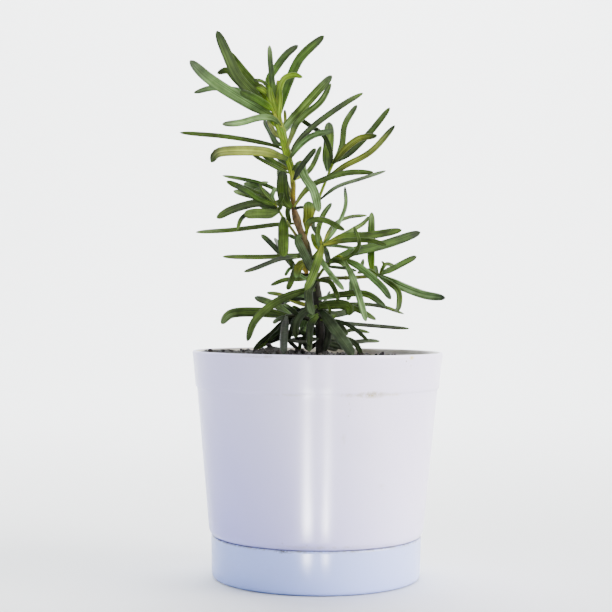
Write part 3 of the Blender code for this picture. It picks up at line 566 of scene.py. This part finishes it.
        (2.4, 12, "forest", (24.5, 120.9), (30, 123.4), (35.2, 126.2), (39.3, 128.3)),
        (3.2, -13, "pale_sage_dark_tip", (24.3, 120.6), (33.8, 116.1), (42.6, 112.9), (51, 111.7)),
        (2.2, -14, "pale_foot", (24, 120.5), (31.8, 114.8), (32.4, 108.2), (30.9, 106.1)),
        (1.5, 10, "bottle_lime_foot", (23.5, 120.8), (22.8, 124.5)),
        (0.6, 0, "leaf", (24.7, 121), (26.2, 124.7), (25.4, 126.3)),
        (1.6, 12, "pale_sage", (13, 119.4), (13.2, 114.5), (11.9, 110.4)),
        (1.2, -4, "moss_dark_tip", (23.8, 120.6), (20, 122.6), (15.6, 121.4)),
        (1.2, 14, "moss_pale_tip", (24.5, 120.8), (27, 125), (30.6, 124.4)),
    ),
    "left_mid_shoot": (
        (2.2, 20, "bottle_pale_tip", (-12.8, 126.5), (-19.8, 133.7), (-23, 136.4)),
        (2.1, -12, "moss_dark_tip", (-9.8, 123), (-10.4, 119), (-12.3, 114.5)),
        (1.2, 38, "bottle", (-14, 127.6), (-15.6, 131.5), (-17.6, 135.2)),
        (1, -6, "sage", (-9.9, 123.2), (-11.7, 122.7), (-13.3, 120.1)),
        (3.2, -8, "orange_foot", (-4.6, 121), (-6, 125), (-8, 123.5), (-8.8, 119.3)),
        (2.2, 10, "orange_foot", (-8.2, 122), (-6, 124.5), (-5, 126.5)),
        (1.8, -4, "moss_dark_tip", (-9, 122.6), (-10.4, 124.8), (-12, 127.4), (-14.8, 129.5)),
    ),
    "left_lower_branch": (
        (3.8, 13, "moss_pale_tip", (-11.5, 103.9), (-22.1, 105.3), (-34.3, 104.8), (-38.7, 100.6)),
        (3, -34, "near_black", (-12.6, 103.8), (-13.5, 96), (-13.6, 88.8)),
        (2.8, 18, "pale_foot", (-10.5, 104.1), (-15, 107.3), (-20, 109.5), (-25.4, 111.3)),
        (1.4, -10, "coal", (-12.8, 103.8), (-16.4, 102.2), (-17.9, 100.9)),
        (1.5, 18, "coal", (-12.4, 103.5), (-18, 97.5), (-22.9, 93.3), (-25.7, 90.3)),
        (1.6, -10, "coal", (-7, 103.7), (-12, 107.6), (-14, 108.6)),
        (1.8, 8, "shaded", (-12.4, 103.7), (-15, 98.4), (-19.5, 94)),
        (1.3, 4, "near_black", (-9.5, 103.9), (-10.5, 99), (-11.4, 94.2), (-7.6, 90.6)),
        (2, 14, "near_black", (-8.6, 104), (-12.4, 107.4), (-16.4, 109.4)),
    ),
}


def seen(x, z, depth):
    """The point at a depth that the eye sees at (x, z) on the plane Y = 0."""
    stretch = (depth - EYE.y) / -EYE.y
    return Vector((EYE.x + (x - EYE.x) * stretch, depth, EYE.z + (z - EYE.z) * stretch))


def seen_flat(point):
    """Where the eye sees a point on the plane Y = 0."""
    shrink = -EYE.y / (point.y - EYE.y)
    return Vector((EYE.x + (point.x - EYE.x) * shrink, 0, EYE.z + (point.z - EYE.z) * shrink))


def smooth_route(points, count):
    """Evenly spaced points on a Catmull-Rom curve through the given points."""
    padded = [2 * points[0] - points[1], *points, 2 * points[-1] - points[-2]]
    dense = []
    for a, b, c, d in zip(padded, padded[1:], padded[2:], padded[3:]):
        for step in range(12):
            t = step / 12
            bend, twist = 2 * a - 5 * b + 4 * c - d, 3 * b - a - 3 * c + d
            dense.append(0.5 * (2 * b + (c - a) * t + bend * t**2 + twist * t**3))
    dense.append(points[-1])
    lengths = [0.0]
    for a, b in zip(dense, dense[1:]):
        lengths.append(lengths[-1] + (b - a).length)
    route, place = [], 0
    for step in range(count):
        target = lengths[-1] * step / (count - 1)
        while place < len(dense) - 2 and lengths[place + 1] < target:
            place += 1
        share = (target - lengths[place]) / max(1e-9, lengths[place + 1] - lengths[place])
        route.append(dense[place].lerp(dense[place + 1], min(1.0, share)))
    return route


STEM_ROUTES = {
    name: smooth_route([Vector((*seen(x, z, depth), width / 2)) for x, z, depth, width in points], 160)
    for name, points in STEMS.items()
}


BARK_FOOT, BARK_TOP = 88, 198


def bark():
    """Young bark: near-black low down with painted shade under the leaves, brown higher up, then tan and
    green at the tip.
    """
    made, shader = new_material("rosemary_bark")
    place = node(made, "TexCoord").outputs["Object"]
    height = node(made, "SeparateXYZ", {0: place}).outputs["Z"]
    ends = {"Value": height, "From Min": BARK_FOOT * MM, "From Max": BARK_TOP * MM}
    up = node(made, "MapRange", ends).outputs[0]
    # fibres 0.9 mm wide and three times as long
    stretched = node(made, "Mapping", {"Vector": place, "Scale": (1, 1, 0.3)}).outputs[0]
    fibre = node(
        made, "TexNoise", {"Vector": stretched, "Scale": 1100.0, "Detail": 4.0, "Roughness": 0.65}
    ).outputs["Fac"]
    shift = node(made, "MapRange", {"Value": fibre, "To Min": -0.05, "To Max": 0.05}).outputs[0]
    up = node(made, "Math", {0: up, 1: shift}, operation="ADD").outputs[0]
    # painted shade: the near-black stops at the foot stand for the shade under the leaves
    stops = (
        (0.0, "11100c"), (0.2, "18170f"), (0.29, "242513"), (0.37, "31361a"), (0.44, "514326"),
        (0.51, "513e22"), (0.545, "422c12"), (0.58, "6e5f04"), (0.66, "586212"), (0.72, "4c6209"),
        (0.84, "50630e"), (1.0, "586b13"),
    )
    colour = node(made, "ValToRGB", {0: up}, stops=stops).outputs[0]
    streaks = node(made, "ValToRGB", {0: fibre}, stops=((0.3, "7a7266"), (0.6, "ffffff"))).outputs[0]
    colour = node(
        made, "Mix", {0: 0.75, 6: colour, 7: streaks}, data_type="RGBA", blend_type="MULTIPLY"
    ).outputs[2]
    link(made, colour, shader.inputs["Base Color"])
    shader.inputs["Roughness"].default_value = 0.62
    shader.inputs["Specular IOR Level"].default_value = 0.15
    bump = node(made, "Bump", {"Height": fibre, "Strength": 0.6, "Distance": 0.0004}).outputs[0]
    link(made, bump, shader.inputs["Normal"])
    return made


def shoot_skin(name, foot, tip):
    """A green shoot's skin: finely downy, streaked along its length."""
    made, shader = new_material(name)
    place = node(made, "TexCoord").outputs["Object"]
    along = node(made, "UVMap", uv_map="along").outputs[0]
    share = node(made, "SeparateXYZ", {0: along}).outputs["X"]
    streak = node(made, "TexNoise", {"Vector": place, "Scale": 900.0, "Detail": 3.0}).outputs["Fac"]
    colour = node(made, "ValToRGB", {0: share}, stops=((0.05, foot), (0.6, tip))).outputs[0]
    tone = node(made, "ValToRGB", {0: streak}, stops=((0.35, "9a9a90"), (0.6, "ffffff"))).outputs[0]
    colour = node(
        made, "Mix", {0: 0.7, 6: colour, 7: tone}, data_type="RGBA", blend_type="MULTIPLY"
    ).outputs[2]
    link(made, colour, shader.inputs["Base Color"])
    shader.inputs["Roughness"].default_value = 0.58
    shader.inputs["Specular IOR Level"].default_value = 0.15
    bump = node(made, "Bump", {"Height": streak, "Strength": 0.4, "Distance": 0.0003}).outputs[0]
    link(made, bump, shader.inputs["Normal"])
    return made


STEM_SIDES = 18
NODE_SWELL, NODE_SPREAD = 0.22, 3.0
RIDGE_SWELL, RIDGE_STRETCH, RIDGE_FINENESS = 0.10, 0.35, 1.1


def build_stem(name, route, knots):
    """A tube along a route, swollen a little at the leaf nodes and ridged along its length."""
    start_fresh()
    curve = bpy.data.curves.new(name, "CURVE")
    curve.dimensions = "3D"
    curve.bevel_depth = MM
    curve.bevel_resolution = STEM_SIDES // 2 - 1
    curve.use_fill_caps = True
    line = curve.splines.new("POLY")
    line.points.add(len(route) - 1)
    for point, knot in zip(line.points, route):
        point.co = (*(knot.xyz * MM), 1)
        point.radius = knot.w
    piece = bpy.data.objects.new(name, curve)
    bpy.context.scene.collection.objects.link(piece)
    bpy.context.view_layer.objects.active = piece
    piece.select_set(True)
    bpy.ops.object.convert(target="MESH")
    piece = bpy.context.object
    mesh = piece.data
    along = mesh.uv_layers.get("along") or mesh.uv_layers.new(name="along")
    shares = {}
    for corner in mesh.vertices:
        spot = corner.co / MM
        place = min(range(len(route)), key=lambda step: (route[step].xyz - spot).length_squared)
        shares[corner.index] = place / (len(route) - 1)
        centre = route[place].xyz
        out = spot - centre
        swell = 1.0
        for share in knots:
            steps_away = (shares[corner.index] - share) * len(route) * 0.5
            swell += NODE_SWELL * math.exp(-(steps_away**2) / NODE_SPREAD)
        ridge = Vector((spot.x, spot.y, spot.z * RIDGE_STRETCH)) * RIDGE_FINENESS
        swell += RIDGE_SWELL * noise.noise(ridge)
        corner.co = (centre + out * swell) * MM
    for loop in mesh.loops:
        along.data[loop.index].uv = (shares[loop.vertex_index], 0.5)
    start_fresh()
    piece.select_set(True)
    bpy.context.view_layer.objects.active = piece
    bpy.ops.object.shade_smooth_by_angle(angle=math.radians(60))
    return piece


SHOOT_FINISHES = {
    "left_upper_shoot": shoot_skin("rosemary_shoot_tan_green", "4b481f", "52631a"),
    "right_upper_shoot": shoot_skin("rosemary_shoot_orange_green", "5d3d18", "566b16"),
    "right_centre_shoot": shoot_skin("rosemary_shoot_green", "3a481a", "4a611a"),
    "right_mid_shoot": shoot_skin("rosemary_shoot_yellow_green", "475218", "5a6d11"),
    "right_lower_branch": shoot_skin("rosemary_branch_grey_olive", "2b2c19", "4b561e"),
    "left_mid_shoot": shoot_skin("rosemary_shoot_dark_olive", "222511", "333c18"),
    # painted shade: the lowest branch's near-black skin stands for the shade under the leaves
    "left_lower_branch": shoot_skin("rosemary_branch_painted_shade", "13130b", "222612"),
}
# where the leaf nodes stand, as shares of a stem's length
MAIN_STEM_KNOTS = (0.28, 0.46, 0.555, 0.68, 0.78, 0.86)
SHOOT_KNOTS = (0.45, 0.95)
for stem, route in STEM_ROUTES.items():
    if stem == "main_stem":
        piece = build_stem("woody_" + stem, route, MAIN_STEM_KNOTS)
        piece.data.materials.append(bark())
    else:
        piece = build_stem("green_" + stem, route, SHOOT_KNOTS)
        piece.data.materials.append(SHOOT_FINISHES[stem])
    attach(piece, "root")
    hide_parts(stem)

# ---------------------------------------------------------------------------------------------
# Leaves. Narrow and leathery: a dark green top with a groove along the middle, edges rolled
# under, and a pale felted underside with a raised rib. One straight leaf is modelled, and each
# leaf is a copy of it, bent along its own line.
# ---------------------------------------------------------------------------------------------
LEAF_SECTION = (
    # across in half widths, up in half thicknesses, anticlockwise from the right-hand edge
    (1.0, 0.0), (0.93, 0.5), (0.66, 0.85), (0.3, 0.72), (0.0, 0.38), (-0.3, 0.72), (-0.66, 0.85),
    (-0.93, 0.5), (-1.0, 0.0), (-0.9, -0.55), (-0.62, -0.42), (-0.22, -0.3), (0.0, -0.75), (0.22, -0.3),
    (0.62, -0.42), (0.9, -0.55),
)
LEAF_THICKNESS = 0.85
LEAF_LEAST_WIDTH = 1.8
LEAF_RINGS = 22


def blade_share(station):
    """Width along the leaf as a share of its full width: a narrow foot and a blunt tip."""
    foot = min(1.0, 0.42 + 2.4 * station)
    return foot * max(0.02, 1 - station**12) ** 0.5


def thickness_share(station):
    """Thickness along the leaf as a share of its full thickness: a thin foot and a thinner tip."""
    return max(0.3, min(1.0, 0.6 + 3 * station, 9 * (1.0 - station)))


def ring_station(ring):
    """How far along the leaf a ring stands. The rings stand closer together at both ends."""
    share = ring / (LEAF_RINGS - 1)
    return 0.35 * share + 0.65 * (0.5 - 0.5 * math.cos(math.pi * share))


def model_straight_leaf():
    """One leaf along +Z, 1 m long and 2 m wide, whose copies are bent to their real sizes."""
    start_fresh()
    bpy.ops.mesh.primitive_circle_add(vertices=len(LEAF_SECTION), radius=1, fill_type="NGON")
    piece = bpy.context.object
    for corner, (across, up) in zip(piece.data.vertices, LEAF_SECTION):
        corner.co = (across * blade_share(0), up * 0.6, 0)
    for edge in piece.data.edges:
        edge.select = True
    bpy.ops.object.mode_set(mode="EDIT")
    bpy.ops.mesh.select_mode(type="EDGE")
    for ring in range(1, LEAF_RINGS):
        before, now = ring_station(ring - 1), ring_station(ring)
        wider = blade_share(now) / blade_share(before)
        thicker = thickness_share(now) / thickness_share(before)
        bpy.ops.mesh.extrude_edges_move(TRANSFORM_OT_translate={"value": (0, 0, now - before)})
        bpy.ops.transform.resize(value=(wider, thicker, 1), center_override=(0, 0, 0))
    bpy.ops.mesh.edge_face_add()
    bpy.ops.mesh.select_all(action="SELECT")
    bpy.ops.mesh.normals_make_consistent(inside=False)
    bpy.ops.object.mode_set(mode="OBJECT")
    blade = piece.data.uv_layers.get("blade") or piece.data.uv_layers.new(name="blade")
    count = len(LEAF_SECTION)
    for face in piece.data.polygons:
        for loop in face.loop_indices:
            corner = piece.data.loops[loop].vertex_index
            around = (corner % count) / count
            if len(face.vertices) == 4 and around == 0 and face.center.y < 0:
                around = 1.0
            blade.data[loop].uv = (around, min(1.0, piece.data.vertices[corner].co.z))
    for old in [layer.name for layer in piece.data.uv_layers if layer.name != "blade"]:
        piece.data.uv_layers.remove(piece.data.uv_layers[old])
    return piece


LEAF_FELT = "4f5c36"


def leaf_skin(name, foot, blade, tip):
    """A leaf's skin. The blade map runs round the section across and from foot to tip along."""
    made, shader = new_material(name)
    chart = node(made, "UVMap", uv_map="blade").outputs[0]
    parts = node(made, "SeparateXYZ", {0: chart})
    around, along = parts.outputs["X"], parts.outputs["Y"]
    place = node(made, "TexCoord").outputs["Object"]
    # pores of 1.4 mm, drawn as coarse as they need to show, and patches of 7 mm
    grain = node(
        made, "TexNoise", {"Vector": place, "Scale": 700.0, "Detail": 3.0, "Roughness": 0.6}
    ).outputs["Fac"]
    patch = node(made, "TexNoise", {"Vector": place, "Scale": 150.0, "Detail": 2.0}).outputs["Fac"]
    stretched = node(made, "Mapping", {"Vector": chart, "Scale": (26, 1.6, 1)}).outputs[0]
    moved = node(made, "Mapping", {"Vector": place, "Scale": (40, 40, 40)}).outputs[0]
    stretched = node(made, "VectorMath", {0: stretched, 1: moved}, operation="ADD").outputs[0]
    veins = node(made, "TexNoise", {"Vector": stretched, "Scale": 1.0, "Detail": 2.0}).outputs["Fac"]
    stops = ((0.02, foot), (0.32, blade), (0.7, blade), (0.96, tip))
    colour = node(made, "ValToRGB", {0: along}, stops=stops).outputs[0]
    # painted shade darkens the margins where they roll under, and a painted highlight lightens the groove
    # along the middle
    stops = (
        (0.0, 0.42), (0.05, 0.42), (0.12, 0.72), (0.215, 0.78), (0.25, 1.0), (0.285, 0.78), (0.38, 0.72),
        (0.45, 0.42), (0.52, 0.5), (0.58, 0.9), (0.97, 0.9), (1.0, 0.42),
    )
    tones = [node(made, "ValToRGB", {0: around}, stops=stops).outputs[0]]
    tones.append(node(made, "ValToRGB", {0: patch}, stops=((0.3, "b0b0a8"), (0.65, "ffffff"))).outputs[0])
    tones.append(node(made, "ValToRGB", {0: veins}, stops=((0.35, "a4a498"), (0.6, "ffffff"))).outputs[0])
    for tone in tones:
        colour = node(
            made, "Mix", {0: 1.0, 6: colour, 7: tone}, data_type="RGBA", blend_type="MULTIPLY"
        ).outputs[2]
    stops = ((0.52, 0.0), (0.58, 0.35), (0.96, 0.35), (1.0, 0.0))
    below = node(made, "ValToRGB", {0: around}, stops=stops).outputs[0]
    colour = node(made, "Mix", {0: below, 6: colour, 7: linear(LEAF_FELT)}, data_type="RGBA").outputs[2]
    link(made, colour, shader.inputs["Base Color"])
    rough = node(made, "MapRange", {"Value": grain, "To Min": 0.42, "To Max": 0.62}).outputs[0]
    link(made, rough, shader.inputs["Roughness"])
    both = node(made, "Math", {0: grain, 1: veins}, operation="ADD").outputs[0]
    bump = node(made, "Bump", {"Height": both, "Strength": 0.35, "Distance": 0.0003}).outputs[0]
    link(made, bump, shader.inputs["Normal"])
    shader.inputs["Specular IOR Level"].default_value = 0.12
    return made


LEAF_GREENS = {
    # painted shade: the near-black and coal greens stand for leaves lying in the plant's own shadow low
    # down
    "near_black": "18230f",
    "coal": "26351b",
    "bottle": "2c400c",
    "forest": "3c5c0c",
    "moss": "48611c",
    "leaf": "58742a",
    "fresh": "6a921a",
    "lime": "82a416",
    "yellow": "b2ba38",
    "straw": "8e9c36",
    "orange": "a88640",
    "slate": "506242",
    "sage": "6c9250",
    "pale_sage": "86aa6c",
    "felt": "7c985e",
}
LEAF_KINDS = {
    # the greens of the foot, the blade and the tip
    # painted shade: the near-black, coal and shaded kinds, and the slate kind with a coal foot, go to
    # leaves low in the plant's shadow
    "near_black": ("coal", "near_black", "near_black"),
    "coal": ("coal", "coal", "slate"),
    "shaded": ("leaf", "coal", "bottle"),
    "bottle": ("bottle", "bottle", "moss"),
    "bottle_pale_tip": ("bottle", "bottle", "leaf"),
    "bottle_lime_foot": ("fresh", "forest", "bottle"),
    "forest": ("forest", "forest", "bottle"),
    "forest_pale_tip": ("fresh", "forest", "felt"),
    "moss": ("bottle", "moss", "moss"),
    "moss_straw_foot": ("yellow", "moss", "moss"),
    "moss_pale_tip": ("moss", "moss", "felt"),
    "moss_dark_tip": ("leaf", "moss", "bottle"),
    "leaf": ("straw", "leaf", "moss"),
    "pale_foot": ("pale_sage", "leaf", "slate"),
    "lime": ("yellow", "lime", "fresh"),
    "young_lime": ("yellow", "lime", "yellow"),
    "straw": ("moss", "straw", "bottle"),
    "orange_foot": ("orange", "straw", "sage"),
    "slate": ("bottle", "slate", "slate"),
    "sage": ("moss", "sage", "slate"),
    "pale_sage": ("moss", "pale_sage", "pale_sage"),
    "pale_sage_dark_tip": ("leaf", "pale_sage", "coal"),
    "dusky": ("coal", "slate", "slate"),
}
LEAF_FINISHES = {
    kind: leaf_skin("rosemary_leaf_" + kind, *[LEAF_GREENS[green] for green in greens])
    for kind, greens in LEAF_KINDS.items()
}
straight_leaf = model_straight_leaf()


def leaf_route(stem, tip_depth, outline):
    """A leaf's middle line: it leaves the stem's surface and reaches its tip's depth evenly."""
    start = seen(*outline[0], 0)
    knot = min(STEM_ROUTES[stem], key=lambda knot: (seen_flat(knot.xyz) - start).length)
    aside = (seen_flat(knot.xyz) - start).length
    front = -1 if tip_depth < knot.y else 1
    base_depth = knot.y + front * math.sqrt(max(0.0, knot.w**2 - aside**2))
    lengths = [0.0]
    for a, b in zip(outline, outline[1:]):
        lengths.append(lengths[-1] + math.dist(a, b))
    points = []
    for (x, z), length in zip(outline, lengths):
        points.append(seen(x, z, base_depth + (tip_depth - base_depth) * length / lengths[-1]))
    return smooth_route(points, 3 * LEAF_RINGS)


def grow_leaf(name, stem, seen_width, tip_depth, finish, *outline):
    """Bend a copy of the straight leaf along a leaf's middle line."""
    route = leaf_route(stem, tip_depth, outline)
    length = sum((b - a).length for a, b in zip(route, route[1:]))
    width = max(seen_width, min(LEAF_LEAST_WIDTH, length / 10))
    roll = math.acos(seen_width / width)
    mesh = straight_leaf.data.copy()
    mesh.name = name
    last = len(route) - 1
    for corner in mesh.vertices:
        across, up, station = corner.co
        spot = min(last, max(0.0, station) * last)
        place = min(last - 1, int(spot))
        centre = route[place].lerp(route[place + 1], spot - place)
        before, after = route[max(0, place - 1)], route[min(last, place + 2)]
        along = (after - before).normalized()
        sight = EYE - centre
        facing = (sight - along * sight.dot(along)).normalized()
        rise = along.cross(facing)
        rise = rise if rise.z >= 0 else -rise
        top = math.cos(roll) * facing + math.sin(roll) * rise
        side = top.cross(along)
        corner.co = (centre + 0.5 * width * across * side + 0.5 * LEAF_THICKNESS * up * top) * MM
    piece = bpy.data.objects.new(name, mesh)
    bpy.context.scene.collection.objects.link(piece)
    mesh.materials.append(LEAF_FINISHES[finish])
    start_fresh()
    bpy.context.view_layer.objects.active = piece
    piece.select_set(True)
    bpy.ops.object.shade_smooth_by_angle(angle=math.radians(70))
    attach(piece, "root")
    return piece


# A leaf is drawn wider than it looks, because its soft edges are lost against the light, and a thin
# leaf loses the most: up to each width, this much is added.
WIDTH_EXTRAS = ((1.6, 0.45), (2.2, 0.35), (math.inf, 0.2))


def full_width(looks):
    """The width that a leaf is drawn with, in mm."""
    return round(looks + next(extra for limit, extra in WIDTH_EXTRAS if looks < limit), 2)


grown = {
    stem: [(full_width(looks), *rest) for looks, *rest in leaves]
    for stem, leaves in LEAVES.items()
}

# The far side of the plant repeats some of the near leaves, shorter and slimmer.
FAR_LEAVES = (
    # stem, number of the near leaf, share of its length, depth of the tip, share of its width
    ("main_stem", 7, 0.8, 30, 0.7),
    ("main_stem", 6, 0.7, 34, 0.9),
    ("main_stem", 3, 0.75, 26, 0.6),
    ("main_stem", 11, 0.8, 34, 0.7),
    ("main_stem", 10, 0.7, 30, 0.7),
    ("main_stem", 16, 0.8, 30, 0.8),
    ("main_stem", 18, 0.7, 36, 0.9),
    ("main_stem", 20, 0.7, 34, 0.7),
    ("main_stem", 23, 0.55, 26, 0.6),
    ("main_stem", 21, 0.8, 34, 0.7),
    ("left_upper_shoot", 1, 0.8, 24, 0.7),
    ("left_upper_shoot", 3, 0.8, 26, 0.7),
    ("right_upper_shoot", 6, 0.8, 34, 0.7),
    ("right_upper_shoot", 5, 0.7, 30, 0.7),
    ("right_centre_shoot", 1, 0.75, 32, 0.6),
    ("right_mid_shoot", 2, 0.8, 30, 0.7),
    ("right_mid_shoot", 1, 0.7, 36, 0.6),
    ("right_lower_branch", 3, 0.75, 32, 0.7),
    ("left_lower_branch", 1, 0.6, 34, 0.7),
    ("left_mid_shoot", 2, 0.8, 24, 0.8),
)
FAR_LEAST_WIDTH = 1.6


def shorten(outline, share):
    """The first share of a leaf's middle line."""
    left = share * sum(math.dist(a, b) for a, b in zip(outline, outline[1:]))
    kept = [outline[0]]
    for a, b in zip(outline, outline[1:]):
        step = math.dist(a, b)
        part = min(1.0, left / step)
        kept.append((a[0] + (b[0] - a[0]) * part, a[1] + (b[1] - a[1]) * part))
        left -= step
        if left <= 0:
            break
    return kept


for stem, number, length_share, tip_depth, width_share in FAR_LEAVES:
    seen_width, _, finish, *outline = grown[stem][number - 1]
    seen_width = max(FAR_LEAST_WIDTH, seen_width * width_share)
    grown[stem].append((seen_width, tip_depth, finish, *shorten(outline, length_share)))

for stem, leaves in grown.items():
    for number, leaf in enumerate(leaves, 1):
        cad_name = f"{stem}_leaf_{number:02d}"
        piece = grow_leaf("rosemary_" + cad_name, stem, *leaf)
        if cad_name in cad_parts:
            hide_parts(cad_name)
bpy.data.objects.remove(straight_leaf, do_unlink=True)

# ---------------------------------------------------------------------------------------------
# Studio. A pale floor that sweeps up into a backdrop, one broad soft light from the right, a
# light of its own for the backdrop, and two narrow strips laid on the floor before the pot,
# which give its wall two upright streaks of sheen.
# ---------------------------------------------------------------------------------------------
FLOOR_NEAR, FLOOR_FAR, FLOOR_WIDTH = -2.2, 1.0, 5.0
BACK_HEIGHT, SWEEP, SWEEP_STEPS = 2.0, 0.5, 12

start_fresh()
bpy.ops.mesh.primitive_plane_add(size=1)
floor = bpy.context.object
floor.name = "studio_floor"
floor.scale = (FLOOR_WIDTH, FLOOR_FAR - FLOOR_NEAR, 1)
floor.location = (0, (FLOOR_FAR + FLOOR_NEAR) / 2, 0)
bpy.ops.object.transform_apply(location=True, rotation=True, scale=True)
bpy.ops.object.mode_set(mode="EDIT")
bpy.ops.mesh.select_mode(type="EDGE")
bpy.ops.object.mode_set(mode="OBJECT")
for edge in floor.data.edges:
    edge.select = all(floor.data.vertices[end].co.y > FLOOR_FAR - 0.01 for end in edge.vertices)
bpy.ops.object.mode_set(mode="EDIT")
for step in range(SWEEP_STEPS):
    turn, after = math.radians(90 / SWEEP_STEPS * step), math.radians(90 / SWEEP_STEPS * (step + 1))
    forward = SWEEP * (math.sin(after) - math.sin(turn))
    rise = SWEEP * (math.cos(turn) - math.cos(after))
    bpy.ops.mesh.extrude_edges_move(TRANSFORM_OT_translate={"value": (0, forward, rise)})
bpy.ops.mesh.extrude_edges_move(TRANSFORM_OT_translate={"value": (0, 0, BACK_HEIGHT)})
bpy.ops.object.mode_set(mode="OBJECT")
bpy.ops.object.shade_smooth()
floor_paint, shader = new_material("matt_studio_paper")
shader.inputs["Base Color"].default_value = linear("f1f3f3")
shader.inputs["Roughness"].default_value = 0.95
floor.data.materials.append(floor_paint)

world = bpy.data.worlds.new("soft_studio_air")
bpy.context.scene.world = world
world.use_nodes = True
world.node_tree.nodes["Background"].inputs["Color"].default_value = linear("b4caff")
world.node_tree.nodes["Background"].inputs["Strength"].default_value = 0.2


def studio_light(name, place, target, wide, tall, power, tint):
    """A rectangular area light at a place, turned to a target, both in metres."""
    bpy.ops.object.light_add(type="AREA", location=place)
    lamp = bpy.context.object
    lamp.name = name
    lamp.data.shape = "RECTANGLE"
    lamp.data.size, lamp.data.size_y = wide, tall
    lamp.data.energy = power
    lamp.data.color = linear(tint)[:3]
    lamp.rotation_euler = (Vector(target) - Vector(place)).to_track_quat("-Z", "Y").to_euler()
    lamp.visible_camera = False
    return lamp


studio_light("key_from_the_right", (1.7, -0.6, 0.85), (0, 0, 0.1), 1.3, 1.4, 128.0, "fffaf4")
studio_light("overhead", (0.1, 0.1, 1.7), (0, 0, 0.1), 1.6, 1.6, 14.0, "ffffff")
studio_light("backdrop_light", (0, 0.55, 1.2), (0, 1.5, 0.35), 1.3, 0.5, 54.0, "fbfcff")
STREAKS = (
    # how far round the pot's front in degrees, width of the strip, power in watts
    (-5.0, 0.010, 1.5),
    (4.9, 0.004, 1.0),
)
POT_FRONT, STRIP_AWAY, STRIP_LENGTH, STRIP_HEIGHT = 0.047, 0.2, 0.30, 0.002
for turn, wide, power in STREAKS:
    heading = math.radians(2 * turn)
    strip = studio_light("sheen_strip", (0, 0, 0), (0, 0, 1), wide, STRIP_LENGTH, power, "ffffff")
    strip.location = (
        POT_FRONT * math.sin(heading / 2) + STRIP_AWAY * math.sin(heading),
        -POT_FRONT - STRIP_AWAY * math.cos(heading),
        STRIP_HEIGHT,
    )
    strip.rotation_euler = (math.pi, 0, heading)
    strip.visible_diffuse = False
